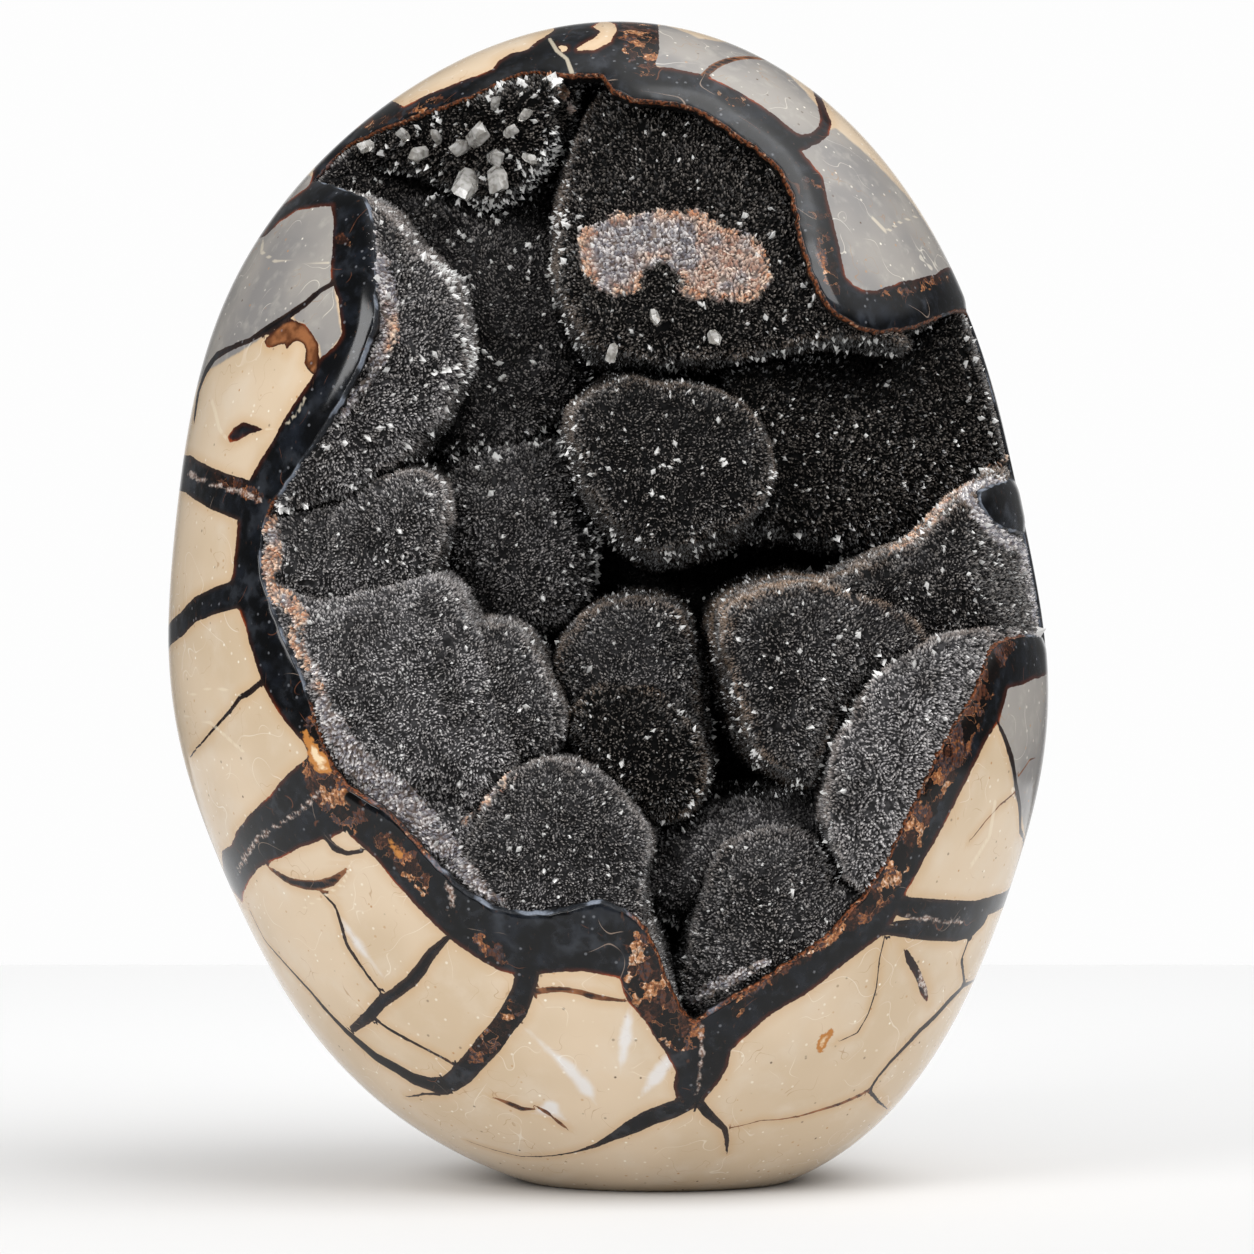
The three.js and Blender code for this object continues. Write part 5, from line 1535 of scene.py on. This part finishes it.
CLEAR_CRYSTALS = [  # place (x, y, z), width, length, and lean along x and z
    ((-38.6, -29, 203.6), 4.0, 7, -0.5, -0.2), ((-35.2, -31, 205.8), 4.4, 7, 0.5, 0.3),
    ((-37.6, -29, 196.4), 5.0, 9, -0.2, -0.9), ((-31.4, -32, 197), 4.8, 8, 0.2, -0.7),
    ((-31.8, -31, 201.4), 3.6, 7, 0.4, -0.1), ((-28.7, -33, 206.4), 2.4, 5, 0.5, 0.3),
    ((-31.8, -32, 212), 2.2, 5, 0.1, 0.4), ((-47, -26, 202.6), 3.2, 6, -0.7, -0.3),
    ((-57.5, -21, 204.6), 2.8, 5, -0.5, -0.4), ((-50, -25, 206.5), 2.4, 5, -0.3, 0.3),
    ((-43.5, -27, 206), 2.4, 5, -0.3, 0.4), ((-25, -34, 201), 2.4, 5, 0.6, -0.3),
    ((-26, -34, 209.5), 2.4, 5, 0.4, 0.3), ((-9.2, -47, 162.6), 3.0, 5, -0.2, -0.8),
    ((-1, -48, 169.5), 2.4, 5, 0.1, -0.6), ((10.4, -47, 165.6), 2.8, 5, 0.2, -0.6),
]
# A column's rings: how far along its length, how wide, and how much every second corner is pushed on.
COLUMN_RINGS = [(-0.4, 0.8, 0.0), (0.18, 1.0, 0.1), (0.34, 0.72, 0.06)]
COLUMN_FLAT = 0.75  # a column's narrow side, as a share of its wide side
COLUMN_TIP = (0.5, 0.12)  # how far along the tip is, as a share of the length, and how far off the axis


def clear_crystal(place, width, length, lean_x, lean_z, turn):
    """Points and triangles of a flattened six-sided column whose blunt point has uneven faces."""
    axis = Vector((lean_x, -1, lean_z)).normalized()
    across = axis.orthogonal().normalized()
    across.rotate(Quaternion(axis, turn))
    third = axis.cross(across)
    rows = []
    for along, wide, push in COLUMN_RINGS:
        for k in range(6):
            angle = math.tau * k / 6
            reach = along + push * (1 if k % 2 else -1)
            side = across * math.cos(angle) + third * (COLUMN_FLAT * math.sin(angle))
            rows.append(Vector(place) + axis * (reach * length) + side * (wide * width / 2))
    rows.append(Vector(place) + axis * (COLUMN_RINGS[0][0] * length))
    rows.append(Vector(place) + axis * (COLUMN_TIP[0] * length) + across * (COLUMN_TIP[1] * width))
    foot, tip = len(rows) - 2, len(rows) - 1
    triangles = []
    for k in range(6):
        after = (k + 1) % 6
        triangles.append((foot, after, k))
        for ring in (0, 6):
            triangles.append((ring + k, ring + after, ring + 6 + after))
            triangles.append((ring + k, ring + 6 + after, ring + 6 + k))
        triangles.append((12 + k, 12 + after, tip))
    return np.array([tuple(p) for p in rows]), np.array(triangles)


clear_points, clear_triangles = [], []
for count, (place, width, length, lean_x, lean_z) in enumerate(CLEAR_CRYSTALS):
    points, triangles = clear_crystal(place, width, length, lean_x, lean_z, turn=count)
    clear_triangles.append(triangles + sum(len(p) for p in clear_points))
    clear_points.append(points)
clear_points, clear_triangles = np.concatenate(clear_points), np.concatenate(clear_triangles)
clear = make_mesh("clear_crystals", clear_points, clear_triangles, smooth=False)

glass, tree = new_material("clear_calcite")
here = add("ShaderNodeTexCoord", give="Object")
frosted = add("ShaderNodeMix", [
    add("ShaderNodeMapRange", [
        add("ShaderNodeTexNoise", sized(1.6, 3)), 0.4, 0.65,
    ], interpolation_type="SMOOTHSTEP"),
    colour("#f4f2ee"), colour("#b5b1aa"),
], data_type="RGBA")
shader = add("ShaderNodeBsdfPrincipled", {
    "Base Color": frosted, "Roughness": 0.06, "IOR": 1.58, "Transmission Weight": 0.6,
})
add("ShaderNodeOutputMaterial", {"Surface": shader})
clear.data.materials.append(glass)
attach(clear, "root")
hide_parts("crystal_crust")

# ---- the floor, the light and the camera ----
# A plain white table that ends behind the stone, white beyond it, and soft light from all round.

TABLE_FRONT, TABLE_BACK, TABLE_SIDE = -800.0, 635.0, 420.0
BRIGHTENING = (-160.0, 240.0)  # from this y to that the table's faint glow grows towards the back
TABLE_GLOW = (0.18, 0.34)
FOOT_SHADE = (22.0, 60.0)  # within this of the foot it doesn't glow, and from there it does in full

corners = [
    (-TABLE_SIDE, TABLE_FRONT, 0), (TABLE_SIDE, TABLE_FRONT, 0),
    (TABLE_SIDE, TABLE_BACK, 0), (-TABLE_SIDE, TABLE_BACK, 0),
]
floor = make_mesh("floor", corners, np.array([(0, 1, 2), (0, 2, 3)]))
white, tree = new_material("white_table")
here = add("ShaderNodeTexCoord", give="Object")
add("ShaderNodeSeparateXYZ", {0: here})
lift = add("ShaderNodeMapRange", [
    output("Y"), *(y * MM for y in BRIGHTENING), *TABLE_GLOW,
], interpolation_type="SMOOTHSTEP")
add("ShaderNodeVectorMath", {0: here}, operation="LENGTH")
lift = add("ShaderNodeMath", [
    lift,
    add("ShaderNodeMapRange", [
        output("Value"), *(far * MM for far in FOOT_SHADE),
    ], interpolation_type="SMOOTHSTEP"),
], operation="MULTIPLY")
shader = add("ShaderNodeBsdfPrincipled", {
    "Base Color": colour("#c3c3c3"), "Roughness": 0.8, "Emission Color": (1, 1, 1, 1),
    "Emission Strength": lift,
})
add("ShaderNodeOutputMaterial", {"Surface": shader})
floor.data.materials.append(white)
floor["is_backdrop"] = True

TOP_LIGHT = (0.42, -0.2, 0.885)  # towards the middle of the soft light above
TOP_LIGHT_RADIANCE = 2.6
TOP_GLOW = 1.3  # and of the sky round it
BACK_GLOW = (0.15, 0.85)  # of the rest of the sky: all round, and straight behind the stone
BACKDROP = 0.985  # what the camera sees of it

# The sky glows straight behind the stone and above it, and the camera sees it plain.
world = bpy.data.worlds.new("studio")
bpy.context.scene.world = world
world.use_nodes = True
tree = world.node_tree
tree.nodes.clear()
way = add("ShaderNodeTexCoord")
add("ShaderNodeSeparateXYZ", {0: way})
glow = add("ShaderNodeMapRange", [output("Y"), 0.93, 0.995, *BACK_GLOW], interpolation_type="SMOOTHSTEP")
add("ShaderNodeVectorMath", {0: way, 1: TOP_LIGHT}, operation="DOT_PRODUCT")
toward = output("Value")
glow = add("ShaderNodeMath", [
    glow, add("ShaderNodeMapRange", [toward, 0.5, 0.98, 0.0, TOP_GLOW], interpolation_type="SMOOTHSTEP"),
], operation="ADD")
glow = add("ShaderNodeMath", [
    glow,
    add("ShaderNodeMapRange", [
        toward, 0.9, 0.975, 0.0, TOP_LIGHT_RADIANCE,
    ], interpolation_type="SMOOTHSTEP"),
], operation="ADD")
seen = add("ShaderNodeLightPath")
glow = add("ShaderNodeMath", [
    glow, add("ShaderNodeMath", [1.0, seen], operation="SUBTRACT"),
], operation="MULTIPLY")
glow = add("ShaderNodeMath", [
    glow, add("ShaderNodeMath", [seen, BACKDROP], operation="MULTIPLY"),
], operation="ADD")
background = add("ShaderNodeBackground", {"Color": (1, 1, 1, 1), "Strength": glow})
add("ShaderNodeOutputWorld", {"Surface": background})


def soft_light(name, place, aim, width, height, radiance):
    """A rectangular lamp that faces the point it aims at."""
    lamp = bpy.data.lights.new(name, "AREA")
    lamp.shape = "RECTANGLE"
    lamp.size, lamp.size_y = width * MM, height * MM
    lamp.energy = radiance * math.pi * width * height * MM**2
    obj = bpy.data.objects.new(name, lamp)
    obj.location = Vector(place) * MM
    obj.rotation_euler = (Vector(aim) - Vector(place)).to_track_quat("-Z", "Y").to_euler()
    bpy.context.scene.collection.objects.link(obj)


# Name, place, what it faces, width, height and radiance.
soft_light("left front", (-700, -800, 650), (0, 0, 110), 550, 550, 9)
soft_light("right front", (600, -750, 800), (0, 0, 110), 500, 500, 5)

CAMERA_PLACE = (-6.3, -1000.0, 110.5)
CAMERA_SENSOR = 36.0
CAMERA_LENS = 143.54

camera = bpy.data.cameras.new("camera")
camera.sensor_width = CAMERA_SENSOR
camera.lens = CAMERA_LENS
camera_object = bpy.data.objects.new("camera", camera)
camera_object.location = Vector(CAMERA_PLACE) * MM
camera_object.rotation_euler = (math.pi / 2, 0, 0)
bpy.context.scene.collection.objects.link(camera_object)
bpy.context.scene.camera = camera_object
bpy.context.scene.view_settings.view_transform = "Standard"

low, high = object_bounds()
{"cad": [list(cad_low), list(cad_high)], "visual": [list(low), list(high)]}
